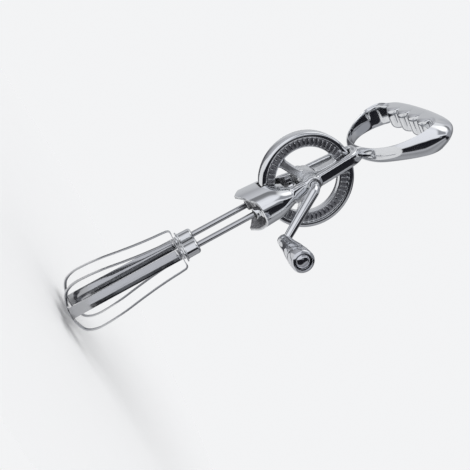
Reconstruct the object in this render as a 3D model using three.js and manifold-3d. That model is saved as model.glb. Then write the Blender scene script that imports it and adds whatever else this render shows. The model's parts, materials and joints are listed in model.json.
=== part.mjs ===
// A hand cranked rotary egg beater: a cast frame with a stirrup grip, a crown gear wheel
// that drives two pinions, and two counter-turning heads of crossed ribbon loops.
// Lengths are in millimetres. +Z runs along the shafts towards the grip, the wheel's axle
// lies along Y with the crank at -Y, and the origin is the centre of the grip bar.
import * as THREE from "three";
import { mergeVertices } from "three/addons/utils/BufferGeometryUtils.js";
import Module from "manifold-3d";

const wasm = await Module();
wasm.setup();

// Driving dimensions
const gripToHub = 97.5;          // grip bar centre down to the wheel's axle
const hubToTip = 196;            // axle down to the tips of the beater heads
const wheelRadius = 36;
const rimDepth = 11;             // rim, front face to rear face
const wheelTeeth = 52;
const rimSides = wheelTeeth;     // one facet of the rim to a tooth
const pinionTeeth = 13;
const crankRadius = 43.7;        // axle to knob spindle
const crankAngle = -63.6;        // degrees, rest direction of the arm in the wheel's plane
const crankLean = 17;            // degrees, arm outwards from the wheel's plane, to pass the grip loop
const headRadius = 18;           // widest reach of the ribbon loops from their shaft
const bladeAngle = -22.5;        // degrees, first ribbon of each head at rest

// Fits
const seatGap = 0.3;             // between pieces that seat on each other
const runGap = 0.3;              // between a turning piece and its bearing
const wheelGap = 1.2;            // round the turning wheel
const overrun = 2;               // how far a cutter passes the face that it cuts

// Facets round the turned pieces
const bigSides = 20;
const roundSides = 16;
const smallSides = 12;
const pinSides = 8;
const hoodSides = 26;
const bandSides = 12;           // round the grip loop and the yoke
const loopStations = 58;
const yokeStations = 26;
const ribbonStations = 38;
const bendSteps = 6;

// Gear wheel
const rimWidth = 3.9;
const rimEdge = 0.6;             // bevel along the rim's corners
const rimRound = 1.5;            // fall of the rim's outer corner
const grooveWidth = 1.1;
const toothLength = 5.1;
const toothAddendum = 0.9;
const toothDedendum = 1.15;
const crownTipWidth = 0.7;
const crownRootWidth = 1.35;
const ringLip = 1.1;             // plain land inside the tooth ring
const spokeCount = 3;
const spokeWidth = 6.4;
const spokeEdge = 0.8;
const spokeRecess = 1.1;         // spoke faces below the rim's faces
const hubRadius = 8.5;
const hubLength = 18;
const wheelPinRadius = 1.2;

// Pinions
const pinionTipWidth = 0.75;
const pinionRootWidth = 2.0;
const pinionHubRadius = 4.2;
const pinionHubLength = 6.2;
const pinionOverhang = 0.3;      // pinion teeth past the crown teeth at each end
const pinionPinRadius = 0.8;

// Axle, crank and knob
const axleRadius = 3.2;
const elbowRadius = 3.6;         // section of the rod at the elbow
const armEndRadius = 2.8;        // section of the rod at the knob
const elbowBend = 6.5;           // bend radius of the rod's centre line
const eyeRadius = 4.8;
const eyeLength = 6.4;
const spindleRadius = 2.4;
const spindleHeadRadius = 5.9;
const spindleHeadHeight = 2.2;
const rivetHeadRadius = 4;
const rivetHeadHeight = 1.6;
const knobLength = 37.5;
const knobNeckRadius = 5.1;
const knobRadius = 7.6;
const knobBandLength = 7;
const knobBandStep = 0.45;
const knobMouthRadius = 6.8;
const knobMouthDepth = 2.6;
const washerThickness = 1.2;
const capRadius = 5.4;
const capHeight = 4.6;
const capSkirt = 1.4;

// Frame: yoke arms and grip loop
const armThickness = 4.6;
const armHalfWidth = 4.8;
const armReach = 17.2;           // outside of an arm from the mid-plane, at the axle
const bossRadius = 6.6;
const bossFace = 18;             // outer face of the axle bosses from the mid-plane
const bushWall = 1.1;
const bushFlange = 0.8;
const throatRoom = 2.8;          // wheel's room up to the underside of the throat
const gripHalfSpan = 51;         // half the loop's width, centre line to centre line
const loopThickness = 4;
const loopWidth = 11.6;          // of the strap over the throat
const strapWidth = 19;           // of the strap round the grip bar's ends
const gripThickness = 13;
const gripWidth = 16.6;
const fingerBumps = 4;
const fingerPitch = 17;
const fingerHeight = 6;

// Frame: hood over the pinions
const hoodSideRoom = 4;          // pinion teeth out to the hood's side walls
const hoodEndRoom = 1;           // the same to its front and rear walls
const hoodWall = 2;
const hoodMouth = 4;             // how much wider than its outside the bell's bore is at the top
const shoulderRise = 0.9;        // shoulder above the inner ends of the crown teeth
const hoodEdgeDrop = 5.5;        // wheel's foot down to the hood's lower edge, front and back
const hoodCornerDrop = 4.9;      // that edge down to the hood's four corners
const hoodTipDrop = 12;          // the same to the points of its two side wings
const bearingRadius = 4.5;
const bearingDrop = 6;           // the same to the lower end of the shaft bearings
const bridgeWidth = 5;

// Shafts and lower bracket
const shaftRadius = 2.15;
const shaftStub = 1.2;           // shaft past the pinion's hub
const bracketTop = 93;
const cupLength = 11;
const cupTopRadius = 5.7;
const cupFootRadius = 6.4;
const cupWall = 0.9;
const plateThickness = 1.1;
const plateRadius = 7.4;
const plateWaist = 7.5;
const cupCrown = 1.4;            // rounding at the closed end of a cup

// Ribbon loops
const ribbonWidth = 8;
const ribbonThickness = 0.6;
const ribbonCrown = 1;           // height of the lengthwise crease, at the widest reach
const headNutRadius = 3.4;
const headNutHeight = 2;
const tipRivetRadius = 1.1;
const tipHeadRadius = 2.3;
const tipHeadHeight = 0.9;

// Sizes that follow
const rimHalf = rimDepth / 2;
const toothOuter = wheelRadius - rimWidth - grooveWidth;
const toothInner = toothOuter - toothLength;
const ringInner = toothInner - ringLip;
const toothMiddle = (toothOuter + toothInner) / 2;
const toothRoot = rimHalf - toothAddendum - toothDedendum;
const pinionPitch = toothMiddle * pinionTeeth / wheelTeeth;
const shaftOffset = rimHalf - toothAddendum + pinionPitch;
const pinionTop = toothInner - pinionOverhang;
const pinionFoot = toothOuter + pinionOverhang;
const shaftTop = pinionTop - pinionHubLength - shaftStub;
const throatHeight = wheelRadius + wheelGap + throatRoom + armThickness / 2;
const hoodHalfWidth = pinionPitch + toothAddendum + hoodSideRoom + hoodWall;
const hoodHalfDepth = shaftOffset + pinionPitch + toothAddendum + hoodEndRoom + hoodWall;
const hoodShoulder = toothInner - shoulderRise;
const hoodFrontEdge = wheelRadius + hoodEdgeDrop;
const hoodCornerEdge = hoodFrontEdge + hoodCornerDrop;
const hoodTip = hoodFrontEdge + hoodTipDrop;
const bearingEnd = hoodFrontEdge + bearingDrop;
const armInner = armReach - armThickness;
const bushRadius = axleRadius + runGap + bushWall;
const bushTop = -pinionFoot - washerThickness - seatGap;
const plateTop = bracketTop + cupLength;
const plateFoot = plateTop + plateThickness;
const washerTop = plateFoot + runGap;
const ribbonTop = washerTop + washerThickness + seatGap + ribbonThickness / 2;
const nestStep = ribbonThickness + seatGap;
const elbowStart = bossFace + runGap;
const elbowTurn = THREE.MathUtils.degToRad(90 - crankLean);
const armStart = elbowStart + elbowBend * Math.sin(elbowTurn);
const armDrop = elbowBend * (1 - Math.cos(elbowTurn));
const eyeReach = armStart + (crankRadius - armDrop) / Math.tan(elbowTurn);
const knobFace = eyeReach + eyeLength / 2;
const knobStart = knobFace + runGap;
const crankDirection = new THREE.Vector3(
  Math.cos(THREE.MathUtils.degToRad(crankAngle)), 0, Math.sin(THREE.MathUtils.degToRad(crankAngle)));

const finishes = {
  chrome: { color: 0xd4d6d9, roughness: 0.08, metalness: 1 },
  satinSteel: { color: 0xc3c6ca, roughness: 0.24, metalness: 1 },
  blade: { color: 0xcdd0d4, roughness: 0.14, metalness: 1 },
  nylon: { color: 0x33363b, roughness: 0.5, metalness: 0 },
};

// Turns a closed geometry into a solid, on its positions alone and with its faces outwards.
function solid(geometry) {
  const plain = geometry.clone();
  plain.deleteAttribute("normal");
  plain.deleteAttribute("uv");
  const merged = mergeVertices(plain);
  const corners = merged.index.array;
  const points = merged.attributes.position;
  const a = new THREE.Vector3();
  const b = new THREE.Vector3();
  const c = new THREE.Vector3();
  const kept = [];
  let volume = 0;
  for (let i = 0; i < corners.length; i += 3) {
    const [p, q, r] = [corners[i], corners[i + 1], corners[i + 2]];
    if (p === q || q === r || r === p) continue;
    kept.push(p, q, r);
    a.fromBufferAttribute(points, p);
    b.fromBufferAttribute(points, q);
    c.fromBufferAttribute(points, r);
    volume += a.dot(b.cross(c));
  }
  if (volume < 0) kept.reverse();
  return new wasm.Manifold(new wasm.Mesh({
    numProp: 3,
    vertProperties: new Float32Array(points.array),
    triVerts: new Uint32Array(kept),
  }));
}

// Gives a solid back as a flat shaded geometry.
function surface(body) {
  const mesh = body.getMesh();
  const geometry = new THREE.BufferGeometry();
  geometry.setAttribute("position", new THREE.BufferAttribute(new Float32Array(mesh.vertProperties), 3));
  geometry.setIndex(new THREE.BufferAttribute(new Uint32Array(mesh.triVerts), 1));
  geometry.computeVertexNormals();
  return geometry;
}

function join(bodies) {
  return bodies.reduce((whole, body) => whole.add(body));
}

// A turned piece: profile points are [radius, height along Y].
function turned(profile, sides) {
  return new THREE.LatheGeometry(profile.map(([r, h]) => new THREE.Vector2(r, h)), sides);
}

// A turned ring or disc between two heights, with an optional bore.
function disc(radius, low, high, sides, bore = 0) {
  if (bore === 0) return turned([[0, low], [radius, low], [radius, high], [0, high]], sides);
  return turned([[bore, low], [radius, low], [radius, high], [bore, high], [bore, low]], sides);
}

// A domed head's profile, from its crown on the axis down to its rim.
function dome(radius, height) {
  const domeShares = [[0, 1], [0.5, 0.92], [0.82, 0.66], [1, 0]];
  return domeShares.map(([r, h]) => [r * radius, h * height]);
}

// Stands a turned piece along Z on a shaft's line.
function onShaft(geometry, side) {
  return geometry.rotateX(Math.PI / 2).translate(0, side * shaftOffset, 0);
}

// Moves a piece that was made round the Y axis out to the knob's spindle.
function onCrank(geometry) {
  return geometry.translate(crankDirection.x * crankRadius, 0, crankDirection.z * crankRadius);
}

// Skins a row of rings of points, closed into a loop or capped at both ends.
function loft(rings, looped) {
  const count = rings[0].length;
  const index = [];
  const spans = looped ? rings.length : rings.length - 1;
  for (let i = 0; i < spans; i++) {
    const here = i * count;
    const there = ((i + 1) % rings.length) * count;
    for (let j = 0; j < count; j++) {
      const next = (j + 1) % count;
      index.push(here + j, there + j, here + next, here + next, there + j, there + next);
    }
  }
  if (!looped) {
    const last = (rings.length - 1) * count;
    for (let j = 1; j < count - 1; j++) {
      index.push(0, j, j + 1, last, last + j + 1, last + j);
    }
  }
  const geometry = new THREE.BufferGeometry().setFromPoints(rings.flat());
  geometry.setIndex(index);
  return geometry;
}

function mirroredInY(geometry) {
  return geometry.clone().applyMatrix4(new THREE.Matrix4().makeScale(1, -1, 1));
}

// A point of a superellipse of the given half axes; a larger power is squarer.
function superellipse(angle, halfX, halfY, power) {
  const [c, s] = [Math.cos(angle), Math.sin(angle)];
  return [
    halfX * Math.sign(c) * Math.abs(c) ** (2 / power),
    halfY * Math.sign(s) * Math.abs(s) ** (2 / power),
  ];
}

function ease(value, low, high) {
  return THREE.MathUtils.smoothstep(value, low, high);
}

// The grip loop: a strap that widens upwards, with the finger bumped grip bar set between its edges.
function gripLoop() {
  const rise = gripToHub - throatHeight;
  const sideShares = [
    [0, 0], [0.3, 0.03], [0.56, 0.12], [0.76, 0.26], [0.91, 0.44],
    [0.99, 0.64], [0.965, 0.83], [0.81, 0.94], [0.47, 0.985],
  ];
  const widenShares = [0.15, 0.8];
  const swellShares = [0.6, 0.97];
  const setBackShares = [0.86, 0.96];
  const barShare = 0.8;
  const squareness = 2.7;
  const right = sideShares.map(([y, z]) => new THREE.Vector3(0, y * gripHalfSpan, throatHeight + z * rise));
  const top = new THREE.Vector3(0, 0, gripToHub);
  const left = right.slice(1).reverse().map((p) => new THREE.Vector3(0, -p.y, p.z));
  const path = new THREE.CatmullRomCurve3([...right, top, ...left], true, "centripetal");
  const bumpSpan = fingerBumps * fingerPitch / 2;
  const rings = [];
  for (let i = 0; i < loopStations; i++) {
    const centre = path.getPointAt(i / loopStations);
    const tangent = path.getTangentAt(i / loopStations);
    const outward = new THREE.Vector3(0, tangent.z, -tangent.y);
    const height = (centre.z - throatHeight) / rise;
    const grip = ease(height, ...swellShares);
    const strap = THREE.MathUtils.lerp(loopWidth, strapWidth, ease(height, ...widenShares));
    const halfWidth = THREE.MathUtils.lerp(strap, gripWidth, ease(height, ...setBackShares)) / 2;
    const halfThickness = THREE.MathUtils.lerp(loopThickness, gripThickness, grip) / 2;
    const onGrip = height > barShare && Math.abs(centre.y) < bumpSpan;
    const wave = Math.sin(Math.PI * (centre.y + bumpSpan) / fingerPitch);
    const bump = onGrip ? fingerHeight * Math.sqrt(Math.abs(wave)) : 0;
    const ring = [];
    for (let j = 0; j < bandSides; j++) {
      const angle = 2 * Math.PI * (j + 0.5) / bandSides;
      const [x, n] = superellipse(angle, halfWidth, halfThickness, squareness);
      const inner = n < 0 ? n * (1 + bump / halfThickness) : n;
      ring.push(new THREE.Vector3(x, centre.y + outward.y * inner, centre.z + outward.z * inner));
    }
    rings.push(ring);
  }
  return loft(rings, true);
}

// The yoke: both arms and the throat over the wheel, with a crowned outer face.
function yoke() {
  const middle = armReach - armThickness / 2;
  const armShares = [
    [1.2, -0.4], [1.12, -0.28], [1, 0], [0.9, 0.3], [0.77, 0.6], [0.69, 0.77], [0.6, 0.88], [0.36, 0.98],
  ];
  const spreadShares = [-0.1, 0.45];
  const spreadShare = 0.35;
  const [crownedFace, flatFace] = [2.4, 6];
  const front = armShares.map(([y, z]) => new THREE.Vector3(0, -y * middle, z * throatHeight));
  const throat = new THREE.Vector3(0, 0, throatHeight);
  const rear = front.slice().reverse().map((p) => new THREE.Vector3(0, -p.y, p.z));
  const path = new THREE.CatmullRomCurve3([...front, throat, ...rear], false, "centripetal");
  const rings = [];
  for (let i = 0; i <= yokeStations; i++) {
    const centre = path.getPointAt(i / yokeStations);
    const tangent = path.getTangentAt(i / yokeStations);
    const outward = new THREE.Vector3(0, -tangent.z, tangent.y);
    const low = ease(-centre.z / throatHeight, ...spreadShares);
    const halfWidth = armHalfWidth * (1 + spreadShare * low);
    const ring = [];
    for (let j = 0; j < bandSides; j++) {
      const angle = 2 * Math.PI * (j + 0.5) / bandSides;
      const power = Math.sin(angle) < 0 ? flatFace : crownedFace;
      const [x, n] = superellipse(angle, halfWidth, armThickness / 2, power);
      ring.push(new THREE.Vector3(x, centre.y + outward.y * n, centre.z + outward.z * n));
    }
    rings.push(ring);
  }
  return loft(rings, false);
}

// One skin of the hood, a bell of rounded oblong sections; the inner skin is a wall smaller.
function hoodSkin(inner) {
  const sectionShares = [
    [0.3, 0.42, 0.78], [0.55, 0.48, 0.845], [0.78, 0.65, 0.93], [1, 0.82, 0.985], [1.2, 0.95, 0.995],
    [1.5, 1, 1], [2.3, 1.08, 1.02],
  ];
  const mouthShares = [0.1, 0.35];
  const squareness = 2.6;
  const rings = sectionShares.map(([depth, width, reach]) => {
    const open = inner ? ease(1 - depth, ...mouthShares) : 0;
    const wall = inner ? hoodWall : 0;
    const halfX = hoodHalfWidth * width - wall + open * hoodMouth;
    const halfY = hoodHalfDepth * reach - wall - open * (armThickness - hoodWall);
    const ring = [];
    for (let j = 0; j < hoodSides; j++) {
      const [x, y] = superellipse(2 * Math.PI * (j + 0.5) / hoodSides, halfX, halfY, squareness);
      ring.push(new THREE.Vector3(x, y, -depth * hoodShoulder));
    }
    return ring;
  });
  if (inner) {
    for (const [ring, step] of [[rings[0], overrun], [rings[rings.length - 1], -overrun]]) {
      ring.forEach((point) => { point.z += step; });
    }
  }
  return solid(loft(rings, false));
}

// What is cut away below the hood: its edge rises from the wing points to the front and back.
function hoodTrim() {
  const reach = hoodHalfDepth + overrun;
  const floor = -hoodTip - hoodHalfDepth;
  const [cornerShare, curveShare] = [0.68, 0.85];
  const corner = hoodHalfDepth * cornerShare;
  const curve = hoodHalfDepth * curveShare;
  const outline = new THREE.Shape();
  outline.moveTo(0, -hoodTip);
  outline.lineTo(corner, -hoodCornerEdge);
  outline.quadraticCurveTo(curve, -hoodFrontEdge - seatGap, reach, -hoodFrontEdge);
  outline.lineTo(reach, floor);
  outline.lineTo(-reach, floor);
  outline.lineTo(-reach, -hoodFrontEdge);
  outline.quadraticCurveTo(-curve, -hoodFrontEdge - seatGap, -corner, -hoodCornerEdge);
  outline.closePath();
  const depth = 4 * hoodHalfWidth;
  const bar = new THREE.ExtrudeGeometry(outline, { depth, bevelEnabled: false, curveSegments: bendSteps });
  bar.translate(0, 0, -depth / 2);
  bar.applyMatrix4(new THREE.Matrix4().makeBasis(
    new THREE.Vector3(0, 1, 0), new THREE.Vector3(0, 0, 1), new THREE.Vector3(1, 0, 0)));
  return solid(bar);
}

// A round piece on the axle beside the wheel, between two distances from the mid-plane.
function besideWheel(side, radius, near, far, bore = 0) {
  return disc(radius, Math.min(side * near, side * far), Math.max(side * near, side * far), bigSides, bore);
}

// The cast frame: grip loop, yoke, axle bosses, hood and the bearings of both shafts.
function handleFrame() {
  const sides = [-1, 1];
  const shell = hoodSkin(false).subtract(hoodSkin(true)).subtract(hoodTrim());
  const bearings = sides.map((side) =>
    solid(onShaft(disc(bearingRadius, -bearingEnd, bushTop - 2 * seatGap - bushFlange, roundSides), side)));
  const bridgeTop = -wheelRadius - 2 * wheelGap;
  const bridgeHeight = bridgeTop + hoodFrontEdge + hoodWall;
  const bridge = solid(new THREE.BoxGeometry(bridgeWidth, 2 * (hoodHalfDepth - hoodWall), bridgeHeight)
    .translate(0, 0, bridgeTop - bridgeHeight / 2));
  const bosses = sides.map((side) => solid(besideWheel(side, bossRadius, armInner, bossFace)));
  const spotFace = solid(disc(bossRadius + seatGap, -armInner, armInner, bigSides));
  const axleBore = solid(disc(bushRadius + seatGap, -bossFace - overrun, bossFace + overrun, bigSides));
  const bushBores = sides.map((side) => solid(
    onShaft(disc(shaftRadius + runGap + bushWall + seatGap, -bearingEnd - overrun, bushTop, roundSides), side)));
  const wheelRoom = solid(disc(wheelRadius + wheelGap, -rimHalf - wheelGap, rimHalf + wheelGap, rimSides));
  const casting = join([solid(gripLoop()), solid(yoke()).subtract(spotFace), shell, ...bearings, bridge, ...bosses]);
  return surface([axleBore, ...bushBores, wheelRoom].reduce((rest, cutter) => rest.subtract(cutter), casting));
}

// The crown wheel: a grooved rim, teeth on both faces, three deep spokes and a long hub.
function gearWheel() {
  const groove = toothOuter + grooveWidth;
  const half = [
    [ringInner, toothRoot], [groove, toothRoot], [groove, rimHalf - rimEdge], [groove + rimEdge, rimHalf],
    [wheelRadius - rimRound, rimHalf], [wheelRadius, rimHalf - rimRound],
  ];
  const section = [...half, ...half.slice().reverse().map(([r, h]) => [r, -h]), half[0]];
  const ring = solid(turned(section, rimSides));
  const hub = solid(disc(hubRadius, -hubLength / 2, hubLength / 2, bigSides));
  const parts = [ring, hub];

  const spokeHalf = rimHalf - spokeRecess;
  const spoke = new THREE.Shape([
    [-1, -1, 1, 0], [-1, -1, 0, 1], [1, -1, 0, 1], [1, -1, 1, 0], [1, 1, 1, 0], [1, 1, 0, 1], [-1, 1, 0, 1], [-1, 1, 1, 0],
  ].map(([x, y, stepY, stepX]) => new THREE.Vector2(
    x * (spokeWidth / 2 - stepX * spokeEdge), y * (spokeHalf - stepY * spokeEdge))));
  const spokeLength = ringInner + seatGap - hubRadius + spokeEdge;
  for (let i = 0; i < spokeCount; i++) {
    const bar = new THREE.ExtrudeGeometry(spoke, { depth: spokeLength, bevelEnabled: false });
    bar.translate(0, 0, hubRadius - spokeEdge);
    bar.rotateY(2 * Math.PI * i / spokeCount);
    parts.push(solid(bar));
  }

  const crown = new THREE.Shape([
    [-crownRootWidth, toothRoot - seatGap], [crownRootWidth, toothRoot - seatGap],
    [crownTipWidth, rimHalf], [-crownTipWidth, rimHalf],
  ].map(([width, height]) => new THREE.Vector2(width / 2, height)));
  for (let i = 0; i < wheelTeeth; i++) {
    const tooth = new THREE.ExtrudeGeometry(crown, { depth: toothLength, bevelEnabled: false });
    tooth.translate(0, 0, toothInner);
    tooth.rotateY(Math.PI + 2 * Math.PI * (i + 0.5) / wheelTeeth);
    parts.push(solid(tooth), solid(mirroredInY(tooth)));
  }
  const bore = solid(disc(axleRadius + seatGap, -hubLength, hubLength, bigSides));
  const pinHole = solid(wheelPinRod(wheelPinRadius + seatGap, hubRadius + overrun));
  return surface(wasm.Manifold.union(parts).subtract(bore).subtract(pinHole));
}

// The pin that drives the wheel from the axle crosses the hub behind the spokes.
function wheelPinRod(radius, halfLength) {
  const height = (rimHalf - spokeRecess + hubLength / 2) / 2;
  return disc(radius, -halfLength, halfLength, pinSides).rotateZ(Math.PI / 2).translate(0, height, 0);
}

// The crank: one rod that is the axle, turns at the elbow and tapers to the knob's eye.
function crankRod() {
  const forward = new THREE.Vector3(0, -1, 0);
  const across = new THREE.Vector3().crossVectors(forward, crankDirection);
  const rearEnd = bossFace + washerThickness + 2 * seatGap + capHeight / 2;
  const rings = [];
  const addRing = (reach, drop, turn, radius) => {
    const centre = forward.clone().multiplyScalar(reach).addScaledVector(crankDirection, drop);
    const side = forward.clone().multiplyScalar(-Math.sin(turn)).addScaledVector(crankDirection, Math.cos(turn));
    const ring = [];
    for (let j = 0; j < smallSides; j++) {
      const angle = 2 * Math.PI * j / smallSides;
      ring.push(centre.clone()
        .addScaledVector(side, radius * Math.cos(angle))
        .addScaledVector(across, radius * Math.sin(angle)));
    }
    rings.push(ring);
  };
  addRing(-rearEnd, 0, 0, axleRadius);
  for (let i = 0; i <= bendSteps; i++) {
    const turn = elbowTurn * i / bendSteps;
    const radius = THREE.MathUtils.lerp(axleRadius, elbowRadius, i / bendSteps);
    addRing(elbowStart + elbowBend * Math.sin(turn), elbowBend * (1 - Math.cos(turn)), turn, radius);
  }
  addRing(eyeReach, crankRadius, elbowTurn, armEndRadius);
  const rod = solid(loft(rings, false));
  const eye = solid(onCrank(disc(eyeRadius, -knobFace, -knobFace + eyeLength, bigSides)));
  const eyeBore = solid(onCrank(
    disc(spindleRadius + seatGap, -knobFace - overrun, -knobFace + eyeLength + overrun, roundSides)));
  const rivetSeat = solid(onCrank(
    disc(eyeRadius, -knobFace + eyeLength, -knobFace + eyeLength + rivetHeadHeight + overrun, bigSides)));
  const pinHole = solid(wheelPinRod(wheelPinRadius + seatGap, hubRadius));
  return surface(rod.subtract(rivetSeat).add(eye).subtract(eyeBore).subtract(pinHole));
}

// The knob: a tapered grip with a stepped band and a mouth that sinks the spindle's head.
function crankKnob() {
  const end = knobStart + knobLength;
  const bore = spindleRadius + runGap;
  const flareShares = [[0.02, 0.12], [0.25, 0.3], [0.5, 0.6], [0.7, 0.85]];
  const flare = flareShares.map(([along, grow]) => [
    THREE.MathUtils.lerp(knobNeckRadius, knobRadius, grow), -knobStart - along * (knobLength - knobBandLength)]);
  const band = end - knobBandLength;
  const profile = [
    [bore, -knobStart],
    [knobNeckRadius - knobBandStep, -knobStart],
    ...flare,
    [knobRadius, -band],
    [knobRadius + knobBandStep, -band - knobBandStep],
    [knobRadius + knobBandStep, -end + 2 * knobBandStep],
    [knobRadius - knobBandStep, -end],
    [knobMouthRadius, -end],
    [knobMouthRadius, -end + knobMouthDepth],
    [bore, -end + knobMouthDepth],
    [bore, -knobStart],
  ];
  return onCrank(turned(profile.reverse(), bigSides));
}

// The spindle: riveted in the crank's eye, with a domed head inside the knob's mouth.
function knobSpindle() {
  const seat = knobStart + knobLength - knobMouthDepth + runGap;
  const back = knobFace - eyeLength - seatGap;
  return onCrank(turned([
    ...dome(spindleHeadRadius, spindleHeadHeight).map(([r, h]) => [r, -seat - h]),
    [spindleRadius, -seat],
    [spindleRadius, -back],
    ...dome(rivetHeadRadius, rivetHeadHeight).reverse().map(([r, h]) => [r, -back + h]),
  ], roundSides));
}

// A pinion: a toothed rim between the crown teeth's ends and a pinned hub above it.
function pinion(side) {
  const tip = pinionPitch + toothAddendum;
  const root = pinionPitch - toothDedendum;
  const corners = [
    [root, -pinionRootWidth], [tip, -pinionTipWidth], [tip, pinionTipWidth], [root, pinionRootWidth]];
  const points = [];
  for (let i = 0; i < pinionTeeth; i++) {
    const middle = 2 * Math.PI * i / pinionTeeth - side * Math.PI / 2;
    for (const [radius, width] of corners) {
      const angle = middle + width / 2 / radius;
      points.push(new THREE.Vector2(radius * Math.cos(angle), radius * Math.sin(angle)));
    }
  }
  const toothed = new THREE.ExtrudeGeometry(new THREE.Shape(points), { depth: pinionFoot - pinionTop, bevelEnabled: false });
  toothed.translate(0, side * shaftOffset, -pinionFoot);
  const hub = onShaft(disc(pinionHubRadius, -pinionTop - seatGap, -pinionTop + pinionHubLength, roundSides), side);
  const bore = onShaft(disc(shaftRadius + seatGap, -pinionFoot - overrun, -shaftTop + overrun, smallSides), side);
  const pinHole = pinionPin(side, pinionPinRadius + seatGap, pinionHubRadius + overrun);
  return surface(solid(toothed).add(solid(hub)).subtract(solid(bore)).subtract(solid(pinHole)));
}

function pinionPin(side, radius = pinionPinRadius, halfLength = pinionHubRadius) {
  return disc(radius, -halfLength, halfLength, pinSides).rotateZ(Math.PI / 2)
    .translate(0, side * shaftOffset, -pinionTop + pinionHubLength / 2);
}

function shaft(side) {
  const end = ribbonTop + nestStep + headNutHeight;
  const rod = solid(onShaft(disc(shaftRadius, -end, -shaftTop, smallSides), side));
  return surface(rod.subtract(solid(pinionPin(side, pinionPinRadius + seatGap, shaftRadius + overrun))));
}

// A flanged bush in the hood's bearing carries a shaft and takes the pinion's thrust.
function upperBush(side) {
  const inner = shaftRadius + runGap;
  return onShaft(turned([
    [inner, -bearingEnd], [inner + bushWall, -bearingEnd], [inner + bushWall, bushTop - bushFlange],
    [bearingRadius, bushTop - bushFlange], [bearingRadius, bushTop], [inner, bushTop], [inner, -bearingEnd],
  ], roundSides), side);
}

function pinionWasher(side) {
  return onShaft(disc(bearingRadius, -pinionFoot - washerThickness, -pinionFoot - seatGap, roundSides,
    shaftRadius + runGap), side);
}

// The lower bracket: two drawn cups on a waisted plate keep the shafts apart.
function lowerBracket() {
  const waistHalf = plateWaist / 2;
  const reach = Math.asin(waistHalf / plateRadius);
  const outline = new THREE.Shape();
  outline.absarc(0, shaftOffset, plateRadius, -Math.PI / 2 + reach, 1.5 * Math.PI - reach, false);
  outline.absarc(0, -shaftOffset, plateRadius, Math.PI / 2 + reach, 2.5 * Math.PI - reach, false);
  outline.closePath();
  const plate = new THREE.ExtrudeGeometry(outline, {
    depth: plateThickness, bevelEnabled: false, curveSegments: smallSides });
  plate.translate(0, 0, -plateFoot);
  const bore = shaftRadius + runGap;
  const cups = [-1, 1].map((side) => solid(onShaft(turned([
    [0, -plateTop - seatGap], [cupFootRadius, -plateTop - seatGap], [cupTopRadius, -bracketTop - cupCrown],
    [cupTopRadius - cupCrown, -bracketTop], [0, -bracketTop],
  ], roundSides), side)));
  const hollows = [-1, 1].map((side) => solid(onShaft(turned([
    [0, -plateFoot - overrun], [cupTopRadius - cupWall, -plateFoot - overrun],
    [cupTopRadius - cupWall, -bracketTop - cupCrown], [bore, -bracketTop - cupCrown],
    [bore, -bracketTop + overrun], [0, -bracketTop + overrun],
  ], roundSides), side)));
  return surface(hollows.reduce((rest, cutter) => rest.subtract(cutter), join([solid(plate), ...cups])));
}

function lowerBush(side) {
  return onShaft(disc(cupTopRadius - cupWall - seatGap, -plateFoot, -bracketTop - cupCrown - seatGap, roundSides,
    shaftRadius + runGap), side);
}

function headWasher(side) {
  return onShaft(disc(headNutRadius + washerThickness, -washerTop - washerThickness, -washerTop, roundSides,
    shaftRadius + seatGap), side);
}

function headNut(side) {
  const top = ribbonTop + nestStep + ribbonThickness / 2 + seatGap;
  const hexagon = solid(onShaft(disc(headNutRadius, -top - headNutHeight, -top, 6), side));
  const bore = disc(shaftRadius + seatGap, -top - headNutHeight - overrun, -top + overrun, smallSides);
  return surface(hexagon.subtract(solid(onShaft(bore, side))));
}

// One ribbon loop, from the shaft out over its shoulder, down past its widest reach and
// round the tip; nest is how many ribbons lie outside it.
function ribbonLoop(side, nest) {
  const top = -ribbonTop - nest * nestStep;
  const foot = -hubToTip + ribbonThickness / 2 + nest * nestStep;
  const reach = headRadius - ribbonThickness / 2 - nest * nestStep;
  const wingShares = [
    [0.3, 0], [0.53, 0.012], [0.6, 0.05], [0.645, 0.15], [0.705, 0.28], [0.81, 0.44], [0.94, 0.62],
    [1, 0.77], [0.98, 0.87], [0.82, 0.945], [0.5, 0.985], [0.2, 1],
  ];
  const creaseShares = [0.35, 0.6];
  const wing = wingShares.map(([r, z]) => new THREE.Vector3(r * reach, 0, top + z * (foot - top)));
  const other = wing.slice().reverse().map((p) => new THREE.Vector3(-p.x, 0, p.z));
  const path = new THREE.CatmullRomCurve3([
    new THREE.Vector3(0, 0, top), ...wing, new THREE.Vector3(0, 0, foot), ...other], true, "centripetal");
  const rings = [];
  for (let i = 0; i < ribbonStations; i++) {
    const centre = path.getPointAt(i / ribbonStations);
    const tangent = path.getTangentAt(i / ribbonStations);
    const outward = new THREE.Vector3(-tangent.z, 0, tangent.x);
    const crown = ribbonCrown * ease(Math.abs(centre.x) / reach, ...creaseShares);
    const half = ribbonThickness / 2;
    const section = [
      [-ribbonWidth / 2, -half], [0, crown - half], [ribbonWidth / 2, -half],
      [ribbonWidth / 2, half], [0, crown + half], [-ribbonWidth / 2, half],
    ];
    rings.push(section.map(([across, out]) =>
      new THREE.Vector3(centre.x + outward.x * out, across, centre.z + outward.z * out)));
  }
  const shaftHole = disc(shaftRadius + seatGap, top - ribbonThickness, top + ribbonThickness, smallSides)
    .rotateX(Math.PI / 2);
  const rivetHole = disc(tipRivetRadius + seatGap, foot - ribbonThickness, foot + ribbonThickness, pinSides)
    .rotateX(Math.PI / 2);
  const angle = THREE.MathUtils.degToRad(bladeAngle + 90 * nest);
  return surface(solid(loft(rings, true)).subtract(solid(shaftHole)).subtract(solid(rivetHole)))
    .rotateZ(angle).translate(0, side * shaftOffset, 0);
}

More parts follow.
